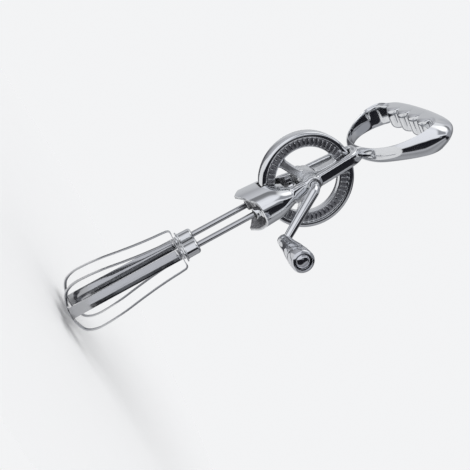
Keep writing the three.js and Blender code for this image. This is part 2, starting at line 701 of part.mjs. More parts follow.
function tipRivet(side) {
  const foot = -hubToTip - seatGap;
  const head = foot + 2 * ribbonThickness + 3 * seatGap;
  return onShaft(turned([
    ...dome(tipHeadRadius, tipHeadHeight).map(([r, h]) => [r, foot - h]),
    [tipRivetRadius, foot], [tipRivetRadius, head],
    ...dome(tipHeadRadius, tipHeadHeight).reverse().map(([r, h]) => [r, head + h]),
  ], smallSides), side);
}

function axleBush(side) {
  return besideWheel(side, bushRadius, armInner, bossFace, axleRadius + runGap);
}

// A spacer between the wheel's hub and an arm.
function hubWasher(side) {
  return besideWheel(side, bossRadius, hubLength / 2 + seatGap, armInner - runGap, axleRadius + runGap);
}

function endWasher() {
  return disc(capRadius, bossFace + runGap, bossFace + washerThickness, bigSides, axleRadius + seatGap);
}

// The domed cap pressed on the axle's rear end.
function endCap() {
  const foot = bossFace + washerThickness + seatGap;
  const bore = axleRadius + seatGap;
  const depth = foot + capHeight / 2 + 2 * seatGap;
  return turned([
    [bore, foot], [capRadius, foot],
    ...dome(capRadius, capHeight - capSkirt).reverse().map(([r, h]) => [r, foot + capSkirt + h]),
    [0, depth], [bore, depth], [bore, foot],
  ], bigSides);
}

const beater = new THREE.Group();
beater.position.z = -gripToHub;

function addPart(name, geometry, finish) {
  const mesh = new THREE.Mesh(geometry, new THREE.MeshStandardMaterial(finishes[finish]));
  mesh.name = name;
  beater.add(mesh);
}

addPart("handle_frame", handleFrame(), "chrome");
addPart("gear_wheel", gearWheel(), "chrome");
addPart("crank_rod", crankRod(), "chrome");
addPart("crank_knob", crankKnob(), "chrome");
addPart("knob_spindle", knobSpindle(), "chrome");
addPart("wheel_pin", wheelPinRod(wheelPinRadius, hubRadius), "satinSteel");
addPart("axle_end_washer", endWasher(), "satinSteel");
addPart("axle_end_cap", endCap(), "chrome");
addPart("lower_bracket", lowerBracket(), "blade");

for (const [place, side] of [["front", -1], ["rear", 1]]) {
  addPart(`${place}_axle_bush`, axleBush(side), "satinSteel");
  addPart(`${place}_hub_washer`, hubWasher(side), "satinSteel");
  addPart(`${place}_pinion`, pinion(side), "nylon");
  addPart(`${place}_pinion_pin`, pinionPin(side), "satinSteel");
  addPart(`${place}_pinion_washer`, pinionWasher(side), "satinSteel");
  addPart(`${place}_upper_bush`, upperBush(side), "nylon");
  addPart(`${place}_shaft`, shaft(side), "satinSteel");
  addPart(`${place}_lower_bush`, lowerBush(side), "nylon");
  addPart(`${place}_head_washer`, headWasher(side), "satinSteel");
  addPart(`${place}_outer_ribbon`, ribbonLoop(side, 0), "blade");
  addPart(`${place}_inner_ribbon`, ribbonLoop(side, 1), "blade");
  addPart(`${place}_head_nut`, headNut(side), "satinSteel");
  addPart(`${place}_tip_rivet`, tipRivet(side), "satinSteel");
}

export default beater;
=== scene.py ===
"""Studio scene of a hand cranked rotary egg beater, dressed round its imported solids.

Lengths in the classes are in millimetres with the wheel's axle as the origin, +Z up along the
shafts and the crank at -Y. Pieces are scaled to metres and moved to the grip when they are placed.
Lengths in the finishes and in the studio are in metres, as materials and cameras need them.
"""

from __future__ import annotations

import json
import logging
import math
from dataclasses import dataclass, field
from enum import Enum
from typing import Sequence

import bmesh
import bpy
from mathutils import Matrix, Vector
from mathutils.bvhtree import BVHTree

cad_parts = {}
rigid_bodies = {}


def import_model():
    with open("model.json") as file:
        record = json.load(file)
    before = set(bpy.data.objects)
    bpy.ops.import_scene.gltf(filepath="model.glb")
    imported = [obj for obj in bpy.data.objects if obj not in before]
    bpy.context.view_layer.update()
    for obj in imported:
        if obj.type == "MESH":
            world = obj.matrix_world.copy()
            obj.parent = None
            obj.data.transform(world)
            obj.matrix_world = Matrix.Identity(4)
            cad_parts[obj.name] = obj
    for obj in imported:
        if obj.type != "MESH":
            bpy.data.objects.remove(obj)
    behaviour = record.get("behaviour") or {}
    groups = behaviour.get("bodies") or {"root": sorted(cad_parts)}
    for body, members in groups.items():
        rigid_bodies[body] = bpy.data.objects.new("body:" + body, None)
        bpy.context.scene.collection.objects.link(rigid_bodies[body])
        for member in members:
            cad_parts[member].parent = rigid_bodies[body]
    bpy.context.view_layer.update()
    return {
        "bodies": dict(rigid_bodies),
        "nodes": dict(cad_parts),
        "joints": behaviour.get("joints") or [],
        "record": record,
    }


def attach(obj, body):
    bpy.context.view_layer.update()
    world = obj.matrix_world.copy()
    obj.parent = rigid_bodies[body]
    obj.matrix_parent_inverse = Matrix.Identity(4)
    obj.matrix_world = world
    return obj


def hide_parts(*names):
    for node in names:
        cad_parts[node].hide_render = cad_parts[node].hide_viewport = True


LOG = logging.getLogger("egg_beater")
METRE = 0.001
DECIMETRE = 100.0
TAU = 2 * math.pi
X_AXIS = Vector((1, 0, 0))
Y_AXIS = Vector((0, 1, 0))

Profile = list[tuple[float, float]]
Colour = tuple[float, float, float]
Limits = tuple[float, float]

# Sizes that several sub-assemblies share

GRIP_TO_HUB = 97.5
SHAFT_OFFSET = 11.7125
ARM_INNER = 12.6
BOSS_FACE = 18.0
HUB_HALF = 9.0
PLAY = 0.3


class End(Enum):
    """The two ends of the wheel's axle, and the shaft on each side."""

    FRONT = -1
    REAR = 1

    @property
    def word(self) -> str:
        """The end's name as the solids use it."""
        return self.name.lower()

    @property
    def shaft_place(self) -> float:
        """Place of the end's shaft along the axle."""
        return self.value * SHAFT_OFFSET


class Axis(Enum):
    """Directions that a turned piece can stand along."""

    ALONG_AXLE = (0.0, 1.0, 0.0)
    ALONG_SHAFT = (0.0, 0.0, 1.0)


class Operation(Enum):
    """What a second solid does to the first."""

    CUT = "DIFFERENCE"
    JOIN = "UNION"


# Shader graphs


class Signal:
    """A socket of a shader graph that takes part in arithmetic."""

    def __init__(self, graph: "Graph", socket: bpy.types.NodeSocket) -> None:
        """Wraps a socket.

        Args:
            graph: The graph that the socket belongs to.
            socket: An output socket that carries a number.
        """
        self.graph = graph
        self.socket = socket

    def _maths(self, operation: str, *values: "Signal | float") -> "Signal":
        """Adds a Math node.

        Args:
            operation: The Math node's operation.
            values: Its inputs in order.

        Returns:
            The node's result.
        """
        return self.graph.node("Math", {"operation": operation}, dict(enumerate(values)))

    def __add__(self, other: "Signal | float") -> "Signal":
        """Sum."""
        return self._maths("ADD", self, other)

    __radd__ = __add__

    def __sub__(self, other: "Signal | float") -> "Signal":
        """Difference."""
        return self._maths("SUBTRACT", self, other)

    def __rsub__(self, other: float) -> "Signal":
        """Difference from a number."""
        return self._maths("SUBTRACT", other, self)

    def __mul__(self, other: "Signal | float") -> "Signal":
        """Product."""
        return self._maths("MULTIPLY", self, other)

    def __truediv__(self, other: "Signal | float") -> "Signal":
        """Quotient."""
        return self._maths("DIVIDE", self, other)

    def power(self, exponent: float) -> "Signal":
        """Power with a fixed exponent."""
        return self._maths("POWER", self, exponent)

    def size(self) -> "Signal":
        """The number without its sign."""
        return (self * self).power(0.5)

    def span(self, low: float, high: float) -> "Signal":
        """Smooth step.

        Args:
            low: Where the result is 0.
            high: Where the result is 1.

        Returns:
            A number from 0 to 1.
        """
        inputs = {"Value": self, "From Min": low, "From Max": high}
        return self.graph.node("MapRange", {"interpolation_type": "SMOOTHSTEP"}, inputs)


@dataclass(frozen=True)
class Pattern:
    """Fractal noise over a surface.

    Attributes:
        scale: Cells in each unit of the vector that it is read at.
        detail: How many finer layers it has.
        roughness: Weight of the finer layers.
        limits: Noise levels that a smooth step turns into 0 and 1, or none for the bare noise.
        stretch: How much each of the object's coordinates is multiplied by first.
    """

    scale: float
    detail: float = 3.0
    roughness: float = 0.5
    limits: Limits | None = None
    stretch: tuple[float, float, float] = (1.0, 1.0, 1.0)


class Graph:
    """Builds the nodes of one material or world."""

    def __init__(self, owner: bpy.types.Material | bpy.types.World) -> None:
        """Empties the owner's tree.

        Args:
            owner: The material or world to fill.
        """
        owner.use_nodes = True
        self.output = "OutputWorld" if isinstance(owner, bpy.types.World) else "OutputMaterial"
        self.tree = owner.node_tree
        self.tree.nodes.clear()

    def node(self, kind: str, settings: dict | None = None, inputs: dict | None = None,
             out: int | str = 0) -> Signal:
        """Adds any node.

        Args:
            kind: The node's type without its ShaderNode prefix.
            settings: Properties that are set before its sockets, or the stops of a ramp.
            inputs: Values, colours or signals for its sockets, by name or number.
            out: The output that is returned.

        Returns:
            The chosen output.
        """
        made = self.tree.nodes.new("ShaderNode" + kind)
        for key, value in (settings or {}).items():
            if key == "stops":
                ramp = made.color_ramp
                while len(ramp.elements) < len(value):
                    ramp.elements.new(0.5)
                for element, (place, colour) in zip(ramp.elements, value):
                    element.position = place
                    element.color = (*colour, 1.0)
            else:
                setattr(made, key, value)
        for key, value in (inputs or {}).items():
            socket = made.inputs[key]
            if isinstance(value, Signal):
                self.tree.links.new(value.socket, socket)
            elif isinstance(value, tuple) and socket.type == "RGBA" and len(value) == 3:
                socket.default_value = (*value, 1.0)
            else:
                socket.default_value = value
        return Signal(self, made.outputs[out])

    def place(self, stretch: tuple[float, float, float] = (1.0, 1.0, 1.0)) -> Signal:
        """Object coordinates in metres, each multiplied by its stretch."""
        coords = self.node("TexCoord", out="Object")
        return self.node("Mapping", {}, {"Vector": coords, "Scale": stretch})

    def split(self, vector: Signal) -> list[Signal]:
        """The three parts of a vector as numbers."""
        return [self.node("SeparateXYZ", {}, {0: vector}, out=part) for part in range(3)]

    def dot(self, vector: Signal, axis: Vector) -> Signal:
        """Length of a vector along a fixed axis."""
        settings, inputs = {"operation": "DOT_PRODUCT"}, {0: vector, 1: tuple(axis)}
        return self.node("VectorMath", settings, inputs, out="Value")

    def noise(self, pattern: Pattern, vector: Signal | None = None) -> Signal:
        """Adds a noise, and its smooth step where it has one.

        Args:
            pattern: What the noise is like.
            vector: Where it is read, or none for the object's own coordinates.

        Returns:
            A number from 0 to 1.
        """
        bare = self.node("TexNoise", {}, {
            "Vector": vector or self.place(pattern.stretch), "Scale": pattern.scale,
            "Detail": pattern.detail, "Roughness": pattern.roughness})
        return bare.span(*pattern.limits) if pattern.limits else bare

    def attribute(self, name: str) -> Signal:
        """A number that the mesh carries at its points."""
        return self.node("Attribute", {"attribute_name": name}, out="Fac")

    def blend(self, share: Signal, first: Signal | Colour, second: Signal | Colour) -> Signal:
        """Mixes two colours.

        Args:
            share: 0 for the first, 1 for the second.
            first: A colour or a link.
            second: A colour or a link.

        Returns:
            The mixed colour.
        """
        return self.node("Mix", {"data_type": "RGBA"}, {0: share, 6: first, 7: second}, out=2)

    def finish(self, shader: Signal) -> None:
        """Sends a shader to the output."""
        made = self.tree.nodes.new("ShaderNode" + self.output)
        self.tree.links.new(shader.socket, made.inputs["Surface"])


@dataclass(frozen=True)
class Relief:
    """How much of a height shows as bumps.

    Attributes:
        strength: Strength of the bumps.
        distance: Their height in metres.
    """

    strength: float
    distance: float

    def surface(self, colour: Signal, rough: Signal, height: Signal, metal: float) -> None:
        """Ends a material's graph with one bumped surface.

        Args:
            colour: Its colour.
            rough: Its roughness.
            height: What the bumps follow.
            metal: 1 for metal, 0 for plastic.
        """
        graph = colour.graph
        bump = graph.node("Bump", {}, {
            "Strength": self.strength, "Distance": self.distance, "Height": height})
        graph.finish(graph.node("BsdfPrincipled", {}, {
            "Base Color": colour, "Metallic": metal, "Roughness": rough, "Normal": bump}))


def shade(colour: Colour, share: float) -> Colour:
    """A colour with each channel multiplied."""
    return tuple(channel * share for channel in colour)


@dataclass(frozen=True)
class ToothGrime:
    """Painted shade and dirt between the wheel's teeth, and the duller core that hands don't polish.

    Attributes:
        inner: Radii between which the painted shade and dirt begins.
        outer: Radii between which it ends.
        depth: Distances from the wheel's middle plane between which it ends.
        core: Radii between which the duller core ends.
        tint: The colour of the painted shade and dirt.
        cover: Least share of the metal that it covers.
        patchy: How much its cover varies.
        rough: What full cover adds to the roughness.
        dull: What the core adds to the roughness.
        patches: Where it is thicker.
    """

    inner: Limits = (0.0250, 0.0262)
    outer: Limits = (0.0306, 0.0316)
    depth: Limits = (0.0036, 0.0050)
    core: Limits = (0.0240, 0.0252)
    tint: Colour = (0.20, 0.20, 0.22)
    cover: float = 0.55
    patchy: float = 0.6
    rough: float = 0.35
    dull: float = 0.24
    patches: Pattern = Pattern(420.0)

    def over(self, colour: Signal, rough: Signal) -> tuple[Signal, Signal]:
        """Lays the painted shade and dirt on a surface.

        Args:
            colour: The clean colour.
            rough: The clean roughness.

        Returns:
            The colour and the roughness with the painted shade and dirt.
        """
        graph = colour.graph
        spread, thick, tall = graph.split(graph.place())
        tall = tall + GRIP_TO_HUB * METRE
        reach = (spread * spread + tall * tall).power(0.5)
        # Painted shade with some dirt: the tooth ring is darkened between the teeth, where shade falls.
        ring = reach.span(*self.inner) * (1.0 - reach.span(*self.outer))
        depth = 1.0 - thick.size().span(*self.depth)
        shade_and_dirt = ring * depth * (self.cover + graph.noise(self.patches) * self.patchy)
        rough = rough + shade_and_dirt * self.rough + (1.0 - reach.span(*self.core)) * self.dull
        return graph.blend(shade_and_dirt, colour, self.tint), rough


@dataclass(frozen=True)
class RawCasting:
    """Unpolished metal where the mesh carries the attribute rugged.

    Attributes:
        grain: Fine grit.
        lumps: Coarse pits.
        patches: Levels of the pits between which the colour changes.
        dark: Colour at the lower level.
        pale: Colour at the upper level.
        rough: What it adds to the roughness.
        gritty: What the grain adds to the roughness.
        grain_height: Height of the grain against the plate's ripple.
        lump_height: Height of the pits against it.
    """

    grain: Pattern = Pattern(1500.0, 4.0, 0.65)
    lumps: Pattern = Pattern(520.0, 3.0, 0.6)
    patches: Limits = (0.35, 0.65)
    dark: Colour = (0.20, 0.20, 0.21)
    pale: Colour = (0.46, 0.46, 0.47)
    rough: float = 0.36
    gritty: float = 0.15
    grain_height: float = 6.0
    lump_height: float = 10.0

    def over(self, colour: Signal, rough: Signal, height: Signal) -> tuple[Signal, ...]:
        """Lays the raw metal on a surface.

        Args:
            colour: The polished colour.
            rough: The polished roughness.
            height: The polished height.

        Returns:
            The colour, roughness and height with the raw metal.
        """
        graph = colour.graph
        rugged = graph.attribute("rugged")
        grain, lumps = graph.noise(self.grain), graph.noise(self.lumps)
        mottle = graph.blend(lumps.span(*self.patches), self.dark, self.pale)
        rough = rough + rugged * (self.rough + grain * self.gritty)
        height = height + rugged * (grain * self.grain_height + lumps * self.lump_height)
        return graph.blend(rugged, colour, mottle), rough, height


@dataclass(frozen=True)
class Plated:
    """Bright chrome plate with faint smears, hairlines and specks.

    Attributes:
        name: The material's name.
        tint: Reflected colour.
        gloss: Roughness where the plate is clean.
        raw: Unpolished metal that the mesh marks, where there is some.
        grime: Painted shade and dirt on the wheel's tooth ring, where there is some.
        smears: Where fingers left a film.
        smear: What the film adds to the roughness.
        hairs: Hairlines along the object's Y.
        hair: What they add to the roughness and to the height.
        specks: Dust and small spots.
        speck: What they add to the roughness.
        film_tint: How much a smear dims the colour.
        speck_tint: How much a speck dims it.
        dim: Share of the colour that is left where it is fully dimmed.
        ripple: The plate's slow waves.
        ripple_height: Their height.
        relief: How much of the height shows.
    """

    name: str
    tint: Colour = (0.74, 0.75, 0.765)
    gloss: float = 0.045
    raw: RawCasting | None = None
    grime: ToothGrime | None = None
    smears: Pattern = Pattern(38.0, 4.0, 0.6, (0.42, 0.72))
    smear: float = 0.10
    hairs: Pattern = Pattern(1.0, 2.0, limits=(0.60, 0.80), stretch=(900.0, 60.0, 900.0))
    hair: float = 0.02
    specks: Pattern = Pattern(900.0, 2.0, limits=(0.66, 0.74))
    speck: float = 0.04
    film_tint: float = 0.5
    speck_tint: float = 0.2
    dim: float = 0.9
    ripple: Pattern = Pattern(130.0, 1.0)
    ripple_height: float = 0.25
    relief: Relief = Relief(0.25, 0.00002)

    def make(self) -> bpy.types.Material:
        """Builds the material.

        Returns:
            The new material.
        """
        material = bpy.data.materials.new(self.name)
        graph = Graph(material)
        film, hairs, specks = (graph.noise(kind) for kind in (self.smears, self.hairs, self.specks))
        rough = self.gloss + film * self.smear + hairs * self.hair + specks * self.speck
        dimmed = film * self.film_tint + specks * self.speck_tint
        colour = graph.blend(dimmed, self.tint, shade(self.tint, self.dim))
        height = graph.noise(self.ripple) * self.ripple_height + hairs * self.hair
        # Painted shade and dirt darken the wheel's tooth ring between the teeth.
        if self.grime:
            colour, rough = self.grime.over(colour, rough)
        if self.raw:
            colour, rough, height = self.raw.over(colour, rough, height)
        self.relief.surface(colour, rough, height, metal=1.0)
        return material


@dataclass(frozen=True)
class Drawn:
    """Bright drawn or rolled stainless steel with fine lines along one direction.

    Attributes:
        name: The material's name.
        tint: Reflected colour.
        gloss: Roughness between the lines.
        follows: The attribute that runs across the lines, or none for lines along Z.
        streak: What the lines add to the roughness.
        strand: Lines across and along that attribute's unit.
        lines: The lines themselves.
        rough_lines: Levels of the lines between which they are rough.
        worn_lines: Levels between which they are dimmed.
        line_tint: How much a line dims the colour.
        clouds: Large soft stains.
        cloud: What they add to the roughness.
        cloud_height: Their height against the lines.
        spots: Small dry spots.
        spot: What they add to the roughness.
        spot_tint: How much a spot dims the colour.
        dim: Share of the colour that is left where it is fully dimmed.
        relief: How much of the height shows.
    """

    name: str
    tint: Colour = (0.60, 0.605, 0.62)
    gloss: float = 0.12
    follows: str | None = None
    streak: float = 0.10
    strand: tuple[float, float] = (220.0, 14.0)
    lines: Pattern = Pattern(1.0, 3.0, 0.6, stretch=(2600.0, 2600.0, 40.0))
    rough_lines: Limits = (0.35, 0.8)
    worn_lines: Limits = (0.3, 0.8)
    line_tint: float = 0.5
    clouds: Pattern = Pattern(60.0, 4.0, 0.6, (0.40, 0.75))
    cloud: float = 0.06
    cloud_height: float = 0.4
    spots: Pattern = Pattern(700.0, 2.0, limits=(0.68, 0.75))
    spot: float = 0.10
    spot_tint: float = 0.3
    dim: float = 0.86
    relief: Relief = Relief(0.18, 0.00003)

    def make(self) -> bpy.types.Material:
        """Builds the material.

        Returns:
            The new material.
        """
        material = bpy.data.materials.new(self.name)
        graph = Graph(material)
        vector = None
        if self.follows:
            across, along = self.strand
            vector = graph.node("CombineXYZ", {}, {
                0: graph.attribute(self.follows) * across, 1: graph.attribute("along") * along, 2: 0.0})
        lines = graph.noise(self.lines, vector)
        clouds, spots = graph.noise(self.clouds), graph.noise(self.spots)
        rough = self.gloss + lines.span(*self.rough_lines) * self.streak
        rough = rough + clouds * self.cloud + spots * self.spot
        worn = lines.span(*self.worn_lines) * self.line_tint + spots * self.spot_tint
        colour = graph.blend(worn, self.tint, shade(self.tint, self.dim))
        self.relief.surface(colour, rough, lines + clouds * self.cloud_height, metal=1.0)
        return material


@dataclass(frozen=True)
class Nylon:
    """Dark moulded nylon, scuffed paler where metal runs on it.

    Attributes:
        name: The material's name.
        tint: Colour of the clean moulding.
        gloss: Its roughness.
        scuffs: Where it is worn.
        scuff: What that adds to the roughness.
        scuff_tint: How much of the paler colour shows there.
        pale: How many times as pale that colour is.
        grain: The mould's grain.
        gritty: What it adds to the roughness.
        relief: How much of the height shows.
    """

    name: str
    tint: Colour = (0.035, 0.037, 0.04)
    gloss: float = 0.42
    scuffs: Pattern = Pattern(260.0, 4.0, 0.65, (0.5, 0.75))
    scuff: float = 0.18
    scuff_tint: float = 0.7
    pale: float = 2.6
    grain: Pattern = Pattern(2400.0)
    gritty: float = 0.1
    relief: Relief = Relief(0.3, 0.00005)

    def make(self) -> bpy.types.Material:
        """Builds the material.

        Returns:
            The new material.
        """
        material = bpy.data.materials.new(self.name)
        graph = Graph(material)
        wear, grain = graph.noise(self.scuffs), graph.noise(self.grain)
        colour = graph.blend(wear * self.scuff_tint, self.tint, shade(self.tint, self.pale))
        rough = self.gloss + wear * self.scuff + grain * self.gritty
        self.relief.surface(colour, rough, grain + wear, metal=0.0)
        return material


class Finishes:
    """The materials of all the pieces."""

    def __init__(self) -> None:
        """Makes each material once."""
        self.frame = Plated("cast_chrome", raw=RawCasting()).make()
        # The wheel's chrome carries painted shade and dirt between its teeth.
        self.wheel = Plated("gear_chrome", gloss=0.07, grime=ToothGrime()).make()
        self.bright = Plated("bright_chrome", gloss=0.035).make()
        self.knob = Plated("turned_chrome", (0.60, 0.61, 0.635), gloss=0.04).make()
        self.blade = Drawn("ribbon_steel", (0.45, 0.455, 0.47), 0.09, follows="across").make()
        self.rod = Drawn("rod_steel", (0.54, 0.545, 0.56), 0.07).make()
        self.cup = Drawn("cup_steel", (0.70, 0.71, 0.72), 0.08, streak=0.05).make()
        self.pin = Drawn("pin_steel", (0.68, 0.69, 0.70), 0.18).make()
        self.nylon = Nylon("dark_nylon").make()
        self.bush = Nylon("bearing_nylon", (0.045, 0.047, 0.05)).make()


# Shapes


@dataclass
class Station:
    """One cross section of a swept piece.

    Attributes:
        centre: Where the section stands.
        across: Direction of its first measure.
        outward: Direction of its second measure.
        outline: The section's points, as pairs of the two measures.
    """

    centre: Vector
    across: Vector
    outward: Vector
    outline: Profile

    def points(self) -> list[Vector]:
        """The section's points in space."""
        return [self.centre + self.across * a + self.outward * b for a, b in self.outline]


def smooth(value: float, low: float, high: float) -> float:
    """Smooth step from 0 at low to 1 at high."""
    share = min(max((value - low) / (high - low), 0.0), 1.0)
    return share * share * (3 - 2 * share)


def grow(first: float, last: float, share: float) -> float:
    """A size between two others."""
    return first + (last - first) * share


def facets(count: int) -> list[float]:
    """Directions of the middles of even facets round a section."""
    return [TAU * (k + 0.5) / count for k in range(count)]


def oval(angle: float, half_a: float, half_b: float, power: float) -> tuple[float, float]:
    """A point of a superellipse.

    Args:
        angle: Direction of the point.
        half_a: First half axis.
        half_b: Second half axis.
        power: Larger is squarer.

    Returns:
        The two measures of the point.
    """
    parts = ((math.cos(angle), half_a), (math.sin(angle), half_b))
    first, second = (math.copysign(abs(part) ** (2 / power), part) * half for part, half in parts)
    return first, second


def quarter() -> list[float]:
    """Even angles of a quarter turn, with both its ends."""
    steps = 8
    return [math.pi / 2 * k / steps for k in range(steps + 1)]


def dome(radius: float, height: float) -> Profile:
    """A domed head's profile, from its crown on the axis down to its rim."""
    return [(radius * math.sin(a), height * math.cos(a)) for a in quarter()]


def bar(radius: float, low: float, high: float) -> Profile:
    """A solid rod's profile between two heights."""
    return [(0, low), (radius, low), (radius, high), (0, high)]


def tube(bore: float, radius: float, low: float, high: float) -> Profile:
    """A ring's profile between two heights."""
    return [(bore, low), (radius, low), (radius, high), (bore, high), (bore, low)]


def curve_points(anchors: Sequence[Vector], count: int, closed: bool) -> list[tuple[Vector, Vector]]:
    """Evenly spaced points of a centripetal curve through anchors.

    Args:
        anchors: The points that the curve passes.
        count: How many points are wanted.
        closed: Whether the curve returns to its first anchor.

    Returns:
        Pairs of a point and the curve's direction there.
    """
    fine = fine_curve(anchors, closed)
    lengths = [0.0]
    for a, b in zip(fine, fine[1:]):
        lengths.append(lengths[-1] + (b - a).length)
    found, at, tiny = [], 0, 1e-9
    for i in range(count):
        wanted = lengths[-1] * i / (count if closed else count - 1)
        while at < len(fine) - 2 and lengths[at + 1] < wanted:
            at += 1
        share = (wanted - lengths[at]) / max(lengths[at + 1] - lengths[at], tiny)
        found.append(fine[at].lerp(fine[at + 1], share))
    pairs = []
    for i, point in enumerate(found):
        before = found[i - 1] if closed or i else point
        after = found[(i + 1) % count] if closed or i + 1 < count else point
        pairs.append((point, (after - before).normalized()))
    return pairs


def fine_curve(anchors: Sequence[Vector], closed: bool, steps: int = 40) -> list[Vector]:
    """Close points of a centripetal curve through anchors.

    Args:
        anchors: The points that the curve passes.
        closed: Whether the curve returns to its first anchor.
        steps: Points between two anchors.

    Returns:
        The points, with both ends.
    """
    total = len(anchors)
    fine: list[Vector] = []
    for i in range(total if closed else total - 1):
        p1, p2 = anchors[i], anchors[(i + 1) % total]
        p0 = anchors[i - 1] if closed or i else p1 * 2 - p2
        p3 = anchors[(i + 2) % total] if closed or i + 2 < total else p2 * 2 - p1
        t1 = (p1 - p0).length ** 0.5
        t2 = t1 + (p2 - p1).length ** 0.5
        t3 = t2 + (p3 - p2).length ** 0.5
        for step in range(steps):
            t = t1 + (t2 - t1) * step / steps
            a1 = p0.lerp(p1, t / t1)
            a2 = p1.lerp(p2, (t - t1) / (t2 - t1))
            a3 = p2.lerp(p3, (t - t2) / (t3 - t2))
            b1 = a1.lerp(a2, t / t2)
            b2 = a2.lerp(a3, (t - t1) / (t3 - t1))
            fine.append(b1.lerp(b2, (t - t1) / (t2 - t1)))
    fine.append(anchors[0].copy() if closed else anchors[-1].copy())
    return fine


def sweep(stations: Sequence[Station], closed: bool) -> bmesh.types.BMesh:
    """Skins a row of sections.

    Args:
        stations: The sections in order, each with as many points.
        closed: Whether the last section joins the first; otherwise both ends are capped.

    Returns:
        The mesh, with point attributes along and across. Along is in decimetres. Across is too on
        flat pieces, which have few points in a section, and a share of half a turn on others.
    """
    bm = bmesh.new()
    along, across = (bm.verts.layers.float.new(name) for name in ("along", "across"))
    sides = len(stations[0].outline)
    fewest_round = 16
    rings = []
    travelled = 0.0
    for i, station in enumerate(stations):
        if i:
            travelled += (station.centre - stations[i - 1].centre).length
        ring = bmesh.ops.create_circle(bm, segments=sides, radius=1.0)["verts"]
        for j, (vert, point) in enumerate(zip(ring, station.points())):
            vert.co = point
            vert[along] = travelled / DECIMETRE
            flat = station.outline[j][0] / DECIMETRE
            vert[across] = flat if sides < fewest_round else abs(2 * j / sides - 1)
        rings.append(ring)
    ring_edges = [ring_loop(bm, ring) for ring in rings]
    for i in range(len(rings) if closed else len(rings) - 1):
        bmesh.ops.bridge_loops(bm, edges=ring_edges[i] + ring_edges[(i + 1) % len(rings)])
    if not closed:
        for edges in (ring_edges[0], ring_edges[-1]):
            bmesh.ops.contextual_create(bm, geom=edges)
    bmesh.ops.recalc_face_normals(bm, faces=bm.faces[:])
    return bm


def ring_loop(bm: bmesh.types.BMesh, ring: Sequence[bmesh.types.BMVert]) -> list[bmesh.types.BMEdge]:
    """The edges that join a ring's points in order."""
    pairs = [(ring[k], ring[k - 1]) for k in range(len(ring))]
    return [bm.edges.get(pair) or bm.edges.new(pair) for pair in pairs]


def soften(bm: bmesh.types.BMesh, width: float, sharper_than: float = 0.5) -> None:
    """Bevels the sharp edges.

    Args:
        bm: The mesh.
        width: Width of the bevel.
        sharper_than: Least angle between two faces, in radians.
    """
    sharp = [e for e in bm.edges if len(e.link_faces) == 2 and e.calc_face_angle(0.0) > sharper_than]
    bmesh.ops.bevel(bm, geom=sharp, offset=width, offset_type="OFFSET", segments=2, profile=0.5,
                    affect="EDGES", clamp_overlap=True, material=-1)


def shift(bm: bmesh.types.BMesh, way: Sequence[float]) -> None:
    """Moves a whole mesh."""
    bmesh.ops.translate(bm, verts=bm.verts[:], vec=Vector(way))


def rotate(bm: bmesh.types.BMesh, angle: float, axis: str) -> None:
    """Turns a whole mesh round one of the axes through the origin, by radians."""
    bmesh.ops.rotate(bm, verts=bm.verts[:], cent=(0, 0, 0), matrix=Matrix.Rotation(angle, 3, axis))


def extrude(bm: bmesh.types.BMesh, faces: Sequence[bmesh.types.BMFace], way: Sequence[float]) -> None:
    """Grows a solid out of flat faces.

    Args:
        bm: The mesh.
        faces: The faces.
        way: How far and where they go.
    """
    grown = bmesh.ops.extrude_face_region(bm, geom=faces)["geom"]
    moved = [part for part in grown if isinstance(part, bmesh.types.BMVert)]
    bmesh.ops.translate(bm, verts=moved, vec=way)
    bmesh.ops.recalc_face_normals(bm, faces=bm.faces[:])


def turn(profile: Profile, axis: Axis, centre: Sequence[float] = (0, 0, 0), steps: int = 64,
         target: bmesh.types.BMesh | None = None, bevel: float = 0.0) -> bmesh.types.BMesh:
    """Spins a profile of radius and height round an axis.

    Args:
        profile: Points from the axis back to the axis, or a loop that ends where it starts.
        axis: The direction of the heights.
        centre: A point on the axis.
        steps: Facets round it.
        target: A mesh to add to.
        bevel: Width of the bevel on sharp edges.

    Returns:
        The mesh.
    """
    part = bmesh.new()
    up = Vector(axis.value)
    points = [part.verts.new(X_AXIS * r + up * h) for r, h in profile]
    edges = [part.edges.new(pair) for pair in zip(points, points[1:])]
    bmesh.ops.spin(part, geom=points + edges, cent=(0, 0, 0), axis=up, angle=TAU, steps=steps,
                   use_merge=True)
    bmesh.ops.remove_doubles(part, verts=part.verts[:], dist=1e-4)
    bmesh.ops.recalc_face_normals(part, faces=part.faces[:])
    if bevel:
        soften(part, bevel)
    shift(part, centre)
    return merge(target, part) if target else part


def merge(target: bmesh.types.BMesh, part: bmesh.types.BMesh) -> bmesh.types.BMesh:
    """Adds one mesh to another and frees it.

    Args:
        target: The mesh that grows.
        part: The mesh that is added.

    Returns:
        The target.
    """
    held = bpy.data.meshes.new("held")
    part.to_mesh(held)
    part.free()
    target.from_mesh(held)
    bpy.data.meshes.remove(held)
    return target


def loose_object(name: str, bm: bmesh.types.BMesh) -> bpy.types.Object:
    """Makes an object and frees the mesh that it came from.

    Args:
        name: The object's name.
        bm: A mesh, still in millimetres.

    Returns:
        The object, in the scene.
    """
    mesh = bpy.data.meshes.new(name)
    bm.to_mesh(mesh)
    bm.free()
    made = bpy.data.objects.new(name, mesh)
    bpy.context.scene.collection.objects.link(made)
    return made


def cylinder(radius: float, low: float, high: float, axis: Axis, y: float = 0.0) -> bpy.types.Object:
    """A round cutter along an axis that crosses the axle at y."""
    return loose_object("cutter", turn(bar(radius, low, high), axis, (0, y, 0), steps=96))


def apply_modifiers(made: bpy.types.Object) -> None:
    """Gives an object the mesh that its modifiers make.

    Args:
        made: The object.
    """
    graph = bpy.context.evaluated_depsgraph_get()
    mesh = bpy.data.meshes.new_from_object(made.evaluated_get(graph))
    old = made.data
    made.modifiers.clear()
    made.data = mesh
    bpy.data.meshes.remove(old)


def ease(made: bpy.types.Object, name: str, rounds: int) -> None:
    """Adds a modifier that smooths a mesh.

    Args:
        made: The object.
        name: The modifier's name.
        rounds: How often each point moves half way to its neighbours.
    """
    modifier = made.modifiers.new(name, "SMOOTH")
    modifier.factor = 0.5
    modifier.iterations = rounds


